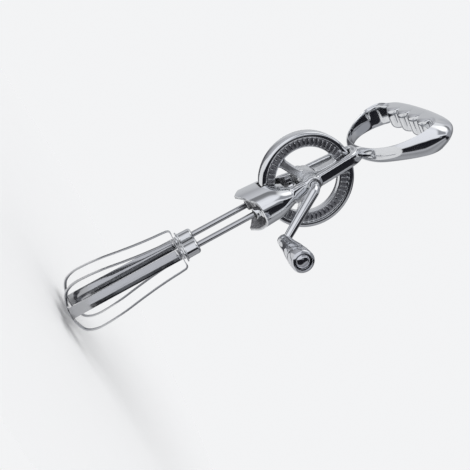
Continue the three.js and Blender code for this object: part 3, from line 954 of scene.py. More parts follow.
def carve(body: bpy.types.Object, *others: bpy.types.Object, operation: Operation = Operation.CUT) -> None:
    """Cuts or joins solids.

    Args:
        body: The solid that stays.
        others: Solids that are used up.
        operation: What they do to it.
    """
    for other in others:
        modifier = body.modifiers.new("cut", "BOOLEAN")
        modifier.operation = operation.value
        modifier.solver = "EXACT"
        modifier.object = other
        apply_modifiers(body)
        bpy.data.objects.remove(other)


def place_piece(name: str, shape: bmesh.types.BMesh | bpy.types.Object, body: str,
                material: bpy.types.Material, nodes: Sequence[str], angle: float = 35.0) -> None:
    """Gives a finished shape its place, finish and body.

    Args:
        name: The piece's name.
        shape: A mesh or object in millimetres from the wheel's axle.
        body: The body that it rides on.
        material: Its material.
        nodes: The solids that it stands for.
        angle: Least angle of an edge that stays sharp, in degrees.
    """
    made = shape if isinstance(shape, bpy.types.Object) else loose_object(name, shape)
    made.name = name
    made.data.transform(Matrix.Translation((0, 0, -GRIP_TO_HUB * METRE)) @ Matrix.Scale(METRE, 4))
    made.data.shade_smooth()
    made.data.set_sharp_from_angle(angle=math.radians(angle))
    made.data.materials.clear()
    made.data.materials.append(material)
    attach(made, body)
    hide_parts(*nodes)
    LOG.info("%s: %d faces on %s", name, len(made.data.polygons), body)


# The cast frame


@dataclass
class GripLoop:
    """The casting's flat strap, which thickens at the top into the grip bar with its finger bumps.

    Attributes:
        throat: Height of the loop's foot.
        half_span: Half the loop's width.
        route_shares: Its route, in shares of the half span and of the rise to the grip.
        foot_width: The strap's width at its foot.
        strap_width: Its width at the corner.
        strap_thickness: Its thickness.
        strap_power: How square its flat side is.
        grip_width: Width of the grip bar.
        grip_thickness: Its thickness.
        grip_power: How square its flat side is.
        thickening: Height shares between which the strap becomes the bar.
        widening: Height shares between which the strap widens.
        narrowing: Height shares between which the bar takes its own width.
        outer_share: Depth of the crowned outer side, in half thicknesses.
        outer_power: How square that side is, which is round.
        inner_share: Depth of the flat inner side.
        domed: Height shares between which the crown becomes a full dome.
        bumps: How many finger bumps there are.
        bump_pitch: Their distance.
        bump_height: Their height.
        bump_foot: Height share below which there are none.
        bulge: How much a bump swells sideways, for each millimetre of its height.
        step: Share of the width that the inner side steps back by beside the bar.
        step_height: Height shares between which the step begins.
        step_side: Shares of the half span between which it begins.
        stations: Sections round the loop.
        facets: Points of a section.
    """

    throat: float = 42.3
    half_span: float = 50.8
    route_shares: tuple[tuple[float, float], ...] = (
        (0, 0), (0.3, 0.03), (0.56, 0.12), (0.76, 0.26), (0.91, 0.44), (0.99, 0.64), (0.965, 0.83),
        (0.81, 0.94), (0.47, 0.985))
    foot_width: float = 11.6
    strap_width: float = 19.0
    strap_thickness: float = 4.0
    strap_power: float = 2.7
    grip_width: float = 16.6
    grip_thickness: float = 12.6
    grip_power: float = 5.0
    thickening: Limits = (0.60, 0.97)
    widening: Limits = (0.15, 0.80)
    narrowing: Limits = (0.86, 0.96)
    outer_share: float = 1.5
    outer_power: float = 2.0
    inner_share: float = 0.5
    domed: Limits = (0.92, 0.985)
    bumps: int = 4
    bump_pitch: float = 17.0
    bump_height: float = 6.0
    bump_foot: float = 0.8
    bulge: float = 0.008
    step: float = 0.12
    step_height: Limits = (0.45, 0.75)
    step_side: Limits = (0.60, 0.82)
    stations: int = 360
    facets: int = 48

    def section(self, height: float, y: float) -> Profile:
        """The loop's outline at one place.

        Args:
            height: The place's height share.
            y: Its distance from the loop's middle.

        Returns:
            Pairs of a width and of a distance outwards.
        """
        grip = smooth(height, *self.thickening)
        strap = grow(self.foot_width, self.strap_width, smooth(height, *self.widening))
        half_width = grow(strap, self.grip_width, smooth(height, *self.narrowing)) / 2
        half_thick = grow(self.strap_thickness, self.grip_thickness, grip) / 2
        reach = self.bumps * self.bump_pitch / 2
        bumpy = height > self.bump_foot and abs(y) < reach
        wave = math.sin(math.pi * (y + reach) / self.bump_pitch)
        bump = self.bump_height * math.sqrt(abs(wave)) if bumpy else 0.0
        step = smooth(height, *self.step_height) * smooth(abs(y) / self.half_span, *self.step_side)
        outline = []
        for angle in facets(self.facets):
            rise = math.sin(angle)
            if rise > 0:
                width, out = oval(angle, half_width, half_thick * self.outer_share, self.outer_power)
                out *= rise ** (1 - smooth(height, *self.domed))
            else:
                tall = half_thick * self.inner_share
                width, out = oval(angle, half_width, tall, grow(self.strap_power, self.grip_power, grip))
                swell = self.bulge * bump * math.sin(math.pi * min(-out / tall, 1.0))
                width *= 1 + swell - self.step * step
                out *= 1 + bump / tall
            outline.append((width, out - half_thick / 2))
        return outline

    def mesh(self) -> bmesh.types.BMesh:
        """Builds the loop.

        Returns:
            A closed mesh.
        """
        rise = GRIP_TO_HUB - self.throat
        right = [Vector((0, y * self.half_span, self.throat + z * rise)) for y, z in self.route_shares]
        left = [Vector((0, -p.y, p.z)) for p in reversed(right[1:])]
        anchors = [*right, Vector((0, 0, GRIP_TO_HUB)), *left]
        stations = []
        for centre, way in curve_points(anchors, self.stations, closed=True):
            outline = self.section((centre.z - self.throat) / rise, centre.y)
            stations.append(Station(centre, X_AXIS, Vector((0, way.z, -way.y)), outline))
        return sweep(stations, closed=True)


@dataclass
class Yoke:
    """Both arms of the frame and the throat that joins them.

    Attributes:
        throat: Height of the throat's middle line.
        reach: Distance of the arms' outer faces from the middle.
        thickness: Thickness of an arm.
        half_width: Half its width.
        route_shares: Its route, in shares of the arm's distance and of the throat's height.
        widening: Shares of the depth below the axle between which an arm widens.
        wider: Share that it widens by.
        inner_power: How square its inner face is.
        outer_power: How square its crowned outer face is.
        stations: Sections along both arms.
        facets: Points of a section.
    """

    throat: float = 42.3
    reach: float = 17.2
    thickness: float = 4.6
    half_width: float = 4.8
    route_shares: tuple[tuple[float, float], ...] = (
        (1.2, -0.4), (1.12, -0.28), (1, 0), (0.9, 0.3), (0.77, 0.6), (0.69, 0.77), (0.6, 0.88),
        (0.36, 0.98))
    widening: Limits = (-0.1, 0.45)
    wider: float = 0.35
    inner_power: float = 6.0
    outer_power: float = 3.4
    stations: int = 150
    facets: int = 40

    def mesh(self) -> bmesh.types.BMesh:
        """Builds both arms and the throat.

        Returns:
            A closed mesh.
        """
        middle = self.reach - self.thickness / 2
        front = [Vector((0, -y * middle, z * self.throat)) for y, z in self.route_shares]
        rear = [Vector((0, -p.y, p.z)) for p in reversed(front)]
        anchors = [*front, Vector((0, 0, self.throat)), *rear]
        stations = []
        for centre, way in curve_points(anchors, self.stations, closed=False):
            half = self.half_width * (1 + self.wider * smooth(-centre.z / self.throat, *self.widening))
            outline = [oval(angle, half, self.thickness / 2,
                            self.inner_power if math.sin(angle) < 0 else self.outer_power)
                       for angle in facets(self.facets)]
            stations.append(Station(centre, X_AXIS, Vector((0, -way.z, way.y)), outline))
        return sweep(stations, closed=False)


@dataclass
class Hood:
    """The bell under the wheel, with a wing on each side whose lower edge comes to a point.

    Attributes:
        half_width: Half its width across the wheel.
        half_depth: Half its reach along the axle.
        wall: Thickness of its sides.
        end_wall: Thickness of its ends, as thick as the arms that run into them.
        mouth: How far its top stays open inside the sides.
        opening: Shares of the shoulder's depth between which the inside closes.
        shoulder: Depth at which it has its full size.
        level_shares: Depth, width and reach, in shares of the shoulder, half width and half depth.
        power: How square it is.
        front_edge: Depth of the lower edge at the front and rear.
        corner_edge: Depth where a wing's edge turns from straight to curved.
        corner_share: Place of that corner, in shares of the half depth.
        curve_share: Place of the handle that bends the curve, in the same shares.
        tip_edge: Depth of the wings' points in the middle.
        levels: Sections from top to bottom.
        facets: Points of a section.
        overrun: How far a cut runs past what it cuts.
        side_overrun: How far the cut of the lower edge runs past the sides.
    """

    half_width: float = 14.0125
    half_depth: float = 22.725
    wall: float = 2.0
    end_wall: float = 4.6
    mouth: float = 4.0
    opening: Limits = (0.10, 0.35)
    shoulder: float = 25.0
    level_shares: tuple[tuple[float, float, float], ...] = (
        (0.3, 0.42, 0.78), (0.55, 0.48, 0.845), (0.78, 0.65, 0.93), (1.0, 0.82, 0.985),
        (1.2, 0.95, 0.995), (1.5, 1.0, 1.0), (2.3, 1.08, 1.02))
    power: float = 2.6
    front_edge: float = 41.5
    corner_edge: float = 46.4
    corner_share: float = 0.68
    curve_share: float = 0.85
    tip_edge: float = 53.5
    levels: int = 48
    facets: int = 96
    overrun: float = 2.0
    side_overrun: float = 16.0

    def skin(self, inner: bool) -> bmesh.types.BMesh:
        """One skin of the bell as a solid.

        Args:
            inner: Whether this is the skin that is cut out of the other.

        Returns:
            A closed mesh.
        """
        wall = self.wall if inner else 0.0
        anchors = [Vector(level) for level in self.level_shares]
        rows = curve_points(anchors, self.levels, closed=False)
        stations = []
        for i, ((depth, width, reach), _) in enumerate(rows):
            opened = smooth(1 - depth, *self.opening) if inner else 0.0
            half_x = self.half_width * width - wall + opened * self.mouth
            half_y = self.half_depth * reach - wall - opened * (self.end_wall - self.wall)
            z = -depth * self.shoulder
            if inner and i in (0, len(rows) - 1):
                z += self.overrun if i == 0 else -self.overrun
            outline = [oval(angle, half_x, half_y, self.power) for angle in facets(self.facets)]
            stations.append(Station(Vector((0, 0, z)), X_AXIS, Y_AXIS, outline))
        return sweep(stations, closed=False)

    def below(self) -> bmesh.types.BMesh:
        """What is cut away below the lower edge.

        Returns:
            A closed mesh.
        """
        bm = bmesh.new()
        steps = 8
        reach, corner = self.half_depth + self.overrun, self.half_depth * self.corner_share
        curve = self.half_depth * self.curve_share
        side = [(corner, -self.corner_edge)]
        for t in (k / steps for k in range(1, steps + 1)):
            first, middle, last = (1 - t) ** 2, 2 * t * (1 - t), t * t
            y = first * corner + middle * curve + last * reach
            side.append((y, -(first * self.corner_edge + (middle + last) * self.front_edge)))
        low = -self.tip_edge - self.half_depth
        mirrored = [(-y, z) for y, z in reversed(side)]
        loop = [(0, -self.tip_edge), *side, (reach, low), (-reach, low), *mirrored]
        past = self.half_width + self.side_overrun
        extrude(bm, [bm.faces.new([bm.verts.new((-past, y, z)) for y, z in loop])], (2 * past, 0, 0))
        return bm


@dataclass
class Casting:
    """The frame in one casting: grip loop, yoke, axle bosses, hood and shaft bearings.

    Attributes:
        boss_radius: Radius of the bosses that carry the axle.
        spacer_room: Radius of the room for the spacers between the arms.
        axle_bore: Radius of the bore through both bosses.
        bearing_radius: Radius of the tubes that carry the shafts.
        bearing_top: Height of their upper ends.
        bearing_end: Depth of their lower ends.
        shaft_bore: Radius of the bore through them.
        bore_reach: Heights between which that bore is cut.
        bridge: Lower and upper height of the bridge between them.
        bridge_width: Its width.
        wheel_room: Radius and half width of the room for the wheel.
        voxel: Size of the cells that the pieces run together in.
        fillet_rounds: Rounds of smoothing that make the fillets.
        edge_rounds: Rounds of smoothing that soften what remains.
        same_way: Cosines between which a point counts as being on a true surface.
        near_by: Distances between which it counts as being in a fillet.
        raw_heights: Heights between which the inside of the hood isn't polished.
        raw_facing: Facing outwards below which a point there lies on the inside.
        loop: The grip loop.
        yoke: The two arms and the throat.
        hood: The bell under the wheel.
    """

    boss_radius: float = 6.0
    spacer_room: float = 6.9
    axle_bore: float = 4.9
    bearing_radius: float = 4.5
    bearing_top: float = -33.5
    bearing_end: float = 47.5
    shaft_bore: float = 3.85
    bore_reach: Limits = (-50.0, -31.0)
    bridge: Limits = (-43.5, -38.4)
    bridge_width: float = 5.0
    wheel_room: tuple[float, float] = (37.2, 6.7)
    voxel: float = 0.55
    fillet_rounds: int = 12
    edge_rounds: int = 4
    same_way: Limits = (0.980, 0.996)
    near_by: Limits = (0.06, 0.16)
    raw_heights: Limits = (-58.0, -12.0)
    raw_facing: float = 0.02
    loop: GripLoop = field(default_factory=GripLoop)
    yoke: Yoke = field(default_factory=Yoke)
    hood: Hood = field(default_factory=Hood)

    def bearings(self) -> bmesh.types.BMesh:
        """The tubes under the hood that carry both shafts, and the bridge between them.

        Returns:
            Closed meshes that overlap.
        """
        bm = bmesh.new()
        for end in End:
            profile = bar(self.bearing_radius, -self.bearing_end, self.bearing_top)
            turn(profile, Axis.ALONG_SHAFT, (0, end.shaft_place, 0), target=bm)
        low, high = self.bridge
        block = bmesh.ops.create_cube(bm, size=1.0)["verts"]
        span = 2 * (self.hood.half_depth - self.hood.wall)
        bmesh.ops.scale(bm, verts=block, vec=(self.bridge_width, span, high - low))
        bmesh.ops.translate(bm, verts=block, vec=(0, 0, (low + high) / 2))
        return bm

    def bosses(self) -> bmesh.types.BMesh:
        """The round bosses on both arms that carry the axle.

        Returns:
            Two closed meshes.
        """
        bm = bmesh.new()
        for end in End:
            near, far = sorted((end.value * ARM_INNER, end.value * BOSS_FACE))
            turn(bar(self.boss_radius, near, far), Axis.ALONG_AXLE, target=bm)
        return bm

    def rough_casting(self) -> bmesh.types.BMesh:
        """Everything but the grip loop, as pieces that only overlap.

        Returns:
            The pieces in one mesh.
        """
        hood = loose_object("hood", self.hood.skin(False))
        carve(hood, loose_object("inside", self.hood.skin(True)))
        yoke = loose_object("yoke", self.yoke.mesh())
        carve(yoke, cylinder(self.spacer_room, -ARM_INNER, ARM_INNER, Axis.ALONG_AXLE))
        whole = bmesh.new()
        for piece in (hood, yoke):
            whole.from_mesh(piece.data)
            bpy.data.objects.remove(piece)
        for part in (self.bearings(), self.bosses()):
            merge(whole, part)
        return whole

    def build(self, finishes: Finishes) -> None:
        """Builds the casting and dresses it.

        Args:
            finishes: The shared materials.
        """
        whole = self.rough_casting()
        skin = BVHTree.FromBMesh(whole)
        body = loose_object("casting", whole)
        remesh = body.modifiers.new("skin", "REMESH")
        remesh.mode = "VOXEL"
        remesh.voxel_size = self.voxel
        ease(body, "fillets", self.fillet_rounds)
        apply_modifiers(body)
        self.settle_on(body, skin)
        ease(body, "edges", self.edge_rounds)
        apply_modifiers(body)
        carve(body, loose_object("loop", self.loop.mesh()), operation=Operation.JOIN)
        radius, half = self.wheel_room
        past = BOSS_FACE + self.hood.overrun
        carve(body, loose_object("below", self.hood.below()),
              cylinder(radius, -half, half, Axis.ALONG_AXLE),
              cylinder(self.axle_bore, -past, past, Axis.ALONG_AXLE))
        for end in End:
            carve(body, cylinder(self.shaft_bore, *self.bore_reach, Axis.ALONG_SHAFT, end.shaft_place))
        self.mark_rugged(body)
        place_piece("frame_casting", body, "frame", finishes.frame, ["handle_frame"],
                    angle=50.0)

    def settle_on(self, body: bpy.types.Object, skin: BVHTree) -> None:
        """Moves the points back on the true surfaces, except in the fillets between them.

        Args:
            body: The smoothed casting.
            skin: The surfaces that it was made from.
        """
        bm = bmesh.new()
        bm.from_mesh(body.data)
        bm.normal_update()
        for vert in bm.verts:
            nearest, facing, _, gap = skin.find_nearest(vert.co)
            agreed = smooth(facing.dot(vert.normal), *self.same_way)
            vert.co = vert.co.lerp(nearest, agreed * (1 - smooth(gap, *self.near_by)))
        bm.to_mesh(body.data)
        bm.free()

    def mark_rugged(self, body: bpy.types.Object) -> None:
        """Marks the points inside the hood, where the casting isn't polished.

        Args:
            body: The finished casting.
        """
        bm = bmesh.new()
        bm.from_mesh(body.data)
        layer = bm.verts.layers.float.new("rugged")
        bm.normal_update()
        low, high = self.raw_heights
        for vert in bm.verts:
            x, y, z = vert.co
            facing = vert.normal.x * x / self.hood.half_width + vert.normal.y * y / self.hood.half_depth
            vert[layer] = 1.0 if low < z < high and facing < self.raw_facing else 0.0
        bm.to_mesh(body.data)
        bm.free()


# The moving parts


@dataclass
class CrownWheel:
    """The gear wheel: grooved rim, crown teeth on both faces, three spokes and a long hub.

    Attributes:
        radius: Outer radius of the rim.
        half: Half the rim's width, and the height of the teeth's tips.
        rim_round: How far the rim's rounded edges reach.
        rim_corner: Place of the middle of those edges, inwards from the radius and the face.
        groove: Radius where the raised rim begins.
        tooth_outer: Outer radius of the teeth.
        tooth_inner: Inner radius of the teeth.
        ring_inner: Inner radius of the ring that carries them.
        tooth_root: Half the ring's width.
        tooth_sunk: How deep the teeth stand in the ring.
        tooth_bevel: Bevel of their edges.
        teeth: How many there are on each face.
        tip_width: Their width at the tip.
        root_width: Their width at the root.
        spokes: How many spokes there are.
        spoke_width: Their width.
        spoke_half: Half their thickness.
        spoke_power: How square they are.
        hub_fillet: Length and width of a spoke's fillet at the hub.
        ring_fillet: Length and width of its fillet at the ring.
        hub_radius: Radius of the hub.
        bore: Radius of its bore.
    """

    radius: float = 35.99
    half: float = 5.5
    rim_round: float = 1.5
    rim_corner: tuple[float, float] = (0.3, 0.6)
    groove: float = 32.1
    tooth_outer: float = 31.0
    tooth_inner: float = 25.9
    ring_inner: float = 24.8
    tooth_root: float = 3.45
    tooth_sunk: float = 0.4
    tooth_bevel: float = 0.14
    teeth: int = 52
    tip_width: float = 0.7
    root_width: float = 1.35
    spokes: int = 3
    spoke_width: float = 6.4
    spoke_half: float = 4.4
    spoke_power: float = 5.0
    hub_fillet: tuple[float, float] = (1.6, 1.6)
    ring_fillet: tuple[float, float] = (1.4, 1.3)
    hub_radius: float = 8.5
    bore: float = 3.5

    def rim(self) -> bmesh.types.BMesh:
        """The ring, its raised rim and the groove outside the teeth.

        Returns:
            A closed mesh.
        """
        inwards, down = self.rim_corner
        half = [(self.ring_inner, self.tooth_root), (self.groove, self.tooth_root),
                (self.groove, self.half), (self.radius - self.rim_round, self.half),
                (self.radius - inwards, self.half - down), (self.radius, self.half - self.rim_round)]
        loop = [*half, *[(r, -h) for r, h in reversed(half)], half[0]]
        return turn(loop, Axis.ALONG_AXLE, steps=180, bevel=0.28)

    def add_teeth(self, bm: bmesh.types.BMesh, face: int) -> None:
        """Adds the teeth of one face.

        Args:
            bm: The wheel's mesh.
            face: -1 for the front, 1 for the rear.
        """
        length = self.tooth_outer - self.tooth_inner
        foot = self.tooth_root - self.tooth_sunk
        part = bmesh.new()
        for vert in bmesh.ops.create_cube(part, size=1.0)["verts"]:
            tip = vert.co.y > 0
            width = self.tip_width if tip else self.root_width
            vert.co = Vector((math.copysign(width / 2, vert.co.x), face * (self.half if tip else foot),
                              self.tooth_inner + (vert.co.z + 0.5) * length))
        bmesh.ops.recalc_face_normals(part, faces=part.faces[:])
        bmesh.ops.bevel(part, geom=part.edges[:], offset=self.tooth_bevel, segments=2, profile=0.5,
                        affect="EDGES", material=-1)
        rotate(part, math.pi + math.pi / self.teeth, "Y")
        copies = self.teeth - 1
        bmesh.ops.spin(part, geom=part.verts[:] + part.edges[:] + part.faces[:], cent=(0, 0, 0),
                       axis=Y_AXIS, angle=TAU * copies / self.teeth, steps=copies, use_duplicate=True)
        merge(bm, part)

    def add_spoke(self, bm: bmesh.types.BMesh, angle: float) -> None:
        """Adds a spoke with a rounded edge and a fillet at both ends.

        Args:
            bm: The wheel's mesh.
            angle: The spoke's direction from the top, in radians.
        """
        steps, sides, sunk, overlap = 24, 40, 0.8, 0.25
        low, high = self.hub_radius - sunk, self.ring_inner + overlap
        stations = []
        for k in range(steps + 1):
            z = grow(low, high, k / steps)
            flare = sum(math.exp(-gap / length) * width for gap, (length, width) in (
                (z - low, self.hub_fillet), (high - z, self.ring_fillet)))
            outline = [oval(way, self.spoke_width / 2 + flare, self.spoke_half, self.spoke_power)
                       for way in facets(sides)]
            stations.append(Station(Vector((0, 0, z)), X_AXIS, Y_AXIS, outline))
        part = sweep(stations, closed=False)
        rotate(part, angle, "Y")
        merge(bm, part)

    def build(self, finishes: Finishes) -> None:
        """Builds the wheel and dresses it.

        Args:
            finishes: The shared materials.
        """
        bm = self.rim()
        for face in (-1, 1):
            self.add_teeth(bm, face)
        for k in range(self.spokes):
            self.add_spoke(bm, TAU * k / self.spokes)
        hub = tube(self.bore, self.hub_radius, -HUB_HALF, HUB_HALF)
        turn(hub, Axis.ALONG_AXLE, steps=96, target=bm, bevel=0.6)
        place_piece("crown_wheel", bm, "wheel", finishes.wheel, ["gear_wheel"])


@dataclass
class Crank:
    """The crank rod with its eye, the knob, its spindle and the axle's rear end.

    Attributes:
        radius: Distance of the knob's axis from the axle.
        angle: Direction of the arm in the wheel's plane, in degrees.
        lean: How far the arm leans out of that plane, in degrees.
        axle: Radius of the rod at the axle.
        elbow: Its radius after the bend.
        arm_end: Its radius at the eye.
        bend: Radius of the bend.
        rear_end: Reach of the axle behind the wheel's middle plane.
        eye_radius: Outer radius of the eye.
        eye_width: Its width along the spindle.
        eye_bore: Radius of the bores in eye and knob.
        knob_length: Length of the knob.
        neck: Its radius at the eye, before the small step.
        widest: Its radius at the band.
        swell_shares: How it widens, in shares of its length before the band and of the widening.
        band: Length of the band at its outer end.
        groove: Depth and width of the groove before the band.
        step: How far the band stands out.
        rim: The band's rounded edge, as places inwards from the radius and the end.
        mouth_edge: Width of the chamfer round the mouth.
        mouth_radius: Radius of the sunk mouth.
        mouth_depth: Its depth.
        spindle: Radius of the spindle.
        head: Radius and height of its domed head.
        rivet: Radius and height of its riveted end.
        cap_radius: Radius of the axle's rear cap and of the washer under it.
        cap_wall: Height of the cap's straight side.
        cap_dome: Height of its dome.
        cap_depth: Depth of its bore.
        cap_bore: Radius of the bores in cap and washer.
        washer: Thickness of the washer.
    """

    radius: float = 43.7
    angle: float = -63.6
    lean: float = 17.0
    axle: float = 3.2
    elbow: float = 3.9
    arm_end: float = 3.0
    bend: float = 6.5
    rear_end: float = 22.1
    eye_radius: float = 4.8
    eye_width: float = 6.4
    eye_bore: float = 2.7
    knob_length: float = 37.5
    neck: float = 5.1
    widest: float = 7.6
    swell_shares: tuple[tuple[float, float], ...] = (
        (0.02, 0.12), (0.12, 0.20), (0.25, 0.3), (0.38, 0.44), (0.5, 0.6), (0.6, 0.73), (0.7, 0.85),
        (0.85, 0.96), (1.0, 1.0))
    band: float = 11.5
    groove: float = 0.5
    step: float = 0.45
    rim: tuple[tuple[float, float], ...] = ((0.0, 1.7), (0.1, 1.25), (0.4, 0.9))
    mouth_edge: float = 0.2
    mouth_radius: float = 6.0
    mouth_depth: float = 2.6
    spindle: float = 2.4
    head: tuple[float, float] = (5.1, 2.0)
    rivet: tuple[float, float] = (4.0, 1.6)
    cap_radius: float = 5.4
    cap_wall: float = 1.4
    cap_dome: float = 3.2
    cap_depth: float = 2.9
    cap_bore: float = 3.5
    washer: float = 0.9

    @property
    def bend_start(self) -> float:
        """Distance of the bend's start from the wheel's middle plane."""
        return BOSS_FACE + PLAY

    @property
    def down(self) -> Vector:
        """Direction of the arm in the wheel's plane."""
        angle = math.radians(self.angle)
        return Vector((math.cos(angle), 0, math.sin(angle)))

    @property
    def turned(self) -> float:
        """How far the rod turns in its bend, in radians."""
        return math.radians(90 - self.lean)

    @property
    def eye_reach(self) -> float:
        """Distance of the eye's middle from the wheel's middle plane."""
        past_bend = (self.radius - self.bend * (1 - math.cos(self.turned))) / math.tan(self.turned)
        return self.bend_start + self.bend * math.sin(self.turned) + past_bend

    @property
    def eye_face(self) -> float:
        """Distance of the eye's outer face from the wheel's middle plane."""
        return self.eye_reach + self.eye_width / 2

    def on_spindle(self, profile: Profile, steps: int = 64, target: bmesh.types.BMesh | None = None,
                   bevel: float = 0.0) -> bmesh.types.BMesh:
        """Turns a profile on the knob's axis, which starts at the arm's end."""
        return turn(profile, Axis.ALONG_AXLE, tuple(self.down * self.radius), steps, target, bevel)

    def section(self, reach: float, drop: float, bend: float, radius: float) -> Station:
        """A round section of the rod.

        Args:
            reach: Its distance in front of the wheel's middle plane.
            drop: Its distance from the axle.
            bend: How far the rod has turned there, in radians.
            radius: The rod's radius there.

        Returns:
            The section.
        """
        forward = Vector((0, -1, 0))
        side = forward * -math.sin(bend) + self.down * math.cos(bend)
        sides = 32
        ways = [TAU * k / sides for k in range(sides)]
        outline = [(radius * math.cos(way), radius * math.sin(way)) for way in ways]
        return Station(forward * reach + self.down * drop, side, forward.cross(self.down), outline)

    def rod(self) -> bmesh.types.BMesh:
        """The axle, elbow, arm and eye.

        Returns:
            The rod and its eye, which overlap.
        """
        steps = 24
        stations = [self.section(-self.rear_end, 0, 0, self.axle)]
        for k in range(steps + 1):
            bend = self.turned * k / steps
            reach, drop = self.bend_start + self.bend * math.sin(bend), self.bend * (1 - math.cos(bend))
            stations.append(self.section(reach, drop, bend, grow(self.axle, self.elbow, k / steps)))
        stations.append(self.section(self.eye_reach, self.radius, self.turned, self.arm_end))
        eye = tube(self.eye_bore, self.eye_radius, -self.eye_face, self.eye_width - self.eye_face)
        return self.on_spindle(eye, target=sweep(stations, closed=False), bevel=0.5)

    def knob(self) -> bmesh.types.BMesh:
        """The turned knob with its band and sunk mouth.

        Returns:
            A closed mesh.
        """
        start = -self.eye_face - PLAY
        end = start - self.knob_length
        band_edge = end + self.band - self.step
        tapered = self.knob_length - self.band
        anchors = [Vector((grow(self.neck, self.widest, swell), start - along * tapered, 0))
                   for along, swell in self.swell_shares]
        swollen = [(point.x, point.y) for point, _ in curve_points(anchors, count=30, closed=False)]
        outer, waist = self.widest + self.step, self.widest - self.groove
        rim = [(outer - inwards, end + back) for inwards, back in self.rim]
        profile = [
            (self.eye_bore, start), (self.neck - self.step, start), *swollen,
            (waist, band_edge + self.groove), (waist, band_edge), (outer, band_edge - self.groove), *rim,
            (self.mouth_radius + self.mouth_edge, end), (self.mouth_radius, end + self.mouth_edge),
            (self.mouth_radius, end + self.mouth_depth), (self.eye_bore, end + self.mouth_depth),
            (self.eye_bore, start)]
        return self.on_spindle(profile, steps=96, bevel=0.12)

    def pivot(self) -> bmesh.types.BMesh:
        """The riveted spindle with its domed head.

        Returns:
            A closed mesh.
        """
        seat = -self.eye_face - PLAY - self.knob_length + self.mouth_depth - PLAY
        back = self.eye_width / 2 - self.eye_reach + PLAY
        head = [(r, seat - h) for r, h in dome(*self.head)]
        rivet = [(r, back + h) for r, h in reversed(dome(*self.rivet))]
        return self.on_spindle([*head, (self.spindle, seat), (self.spindle, back), *rivet])

    def build(self, finishes: Finishes) -> None:
        """Builds the crank's pieces and dresses them.

        Args:
            finishes: The shared materials.
        """
        place_piece("crank_arm", self.rod(), "wheel", finishes.bright, ["crank_rod"],
                    angle=50.0)
        place_piece("knob_grip", self.knob(), "knob", finishes.knob, ["crank_knob"])
        place_piece("knob_pivot", self.pivot(), "wheel", finishes.knob, ["knob_spindle"])
        low = BOSS_FACE + PLAY
        high = low + self.washer
        foot = high + PLAY
        cap = [(self.cap_bore, foot), (self.cap_radius, foot),
               *[(r, foot + self.cap_wall + h) for r, h in reversed(dome(self.cap_radius, self.cap_dome))],
               (0, foot + self.cap_depth), (self.cap_bore, foot + self.cap_depth), (self.cap_bore, foot)]
        place_piece("rear_cap", turn(cap, Axis.ALONG_AXLE), "wheel", finishes.bright,
                    ["axle_end_cap"])
        washer = turn(tube(self.cap_bore, self.cap_radius, low, high), Axis.ALONG_AXLE, bevel=0.15)
        place_piece("rear_washer", washer, "wheel", finishes.pin, ["axle_end_washer"])


@dataclass
class AxleFittings:
    """Bushes in the frame's bosses and the spacers beside the wheel.

    Attributes:
        bore: Radius of their bores.
        bush: Outer radius of a bush.
        spacer: Outer radius of a spacer.
    """

    bore: float = 3.4
    bush: float = 4.8
    spacer: float = 6.6

    def ring(self, radius: float, one: float, other: float) -> bmesh.types.BMesh:
        """A ring on the axle between two places."""
        return turn(tube(self.bore, radius, *sorted((one, other))), Axis.ALONG_AXLE, bevel=0.2)

    def build(self, finishes: Finishes) -> None:
        """Builds the rings and dresses them.

        Args:
            finishes: The shared materials.
        """
        for end in End:
            bush = self.ring(self.bush, end.value * ARM_INNER, end.value * BOSS_FACE)
            place_piece(f"{end.word}_bush_ring", bush, "frame", finishes.pin,
                        [f"{end.word}_axle_bush"])
            spacer = self.ring(self.spacer, end.value * (HUB_HALF + PLAY), end.value * (ARM_INNER - PLAY))
            place_piece(f"{end.word}_spacer", spacer, "wheel", finishes.pin,
                        [f"{end.word}_hub_washer"])


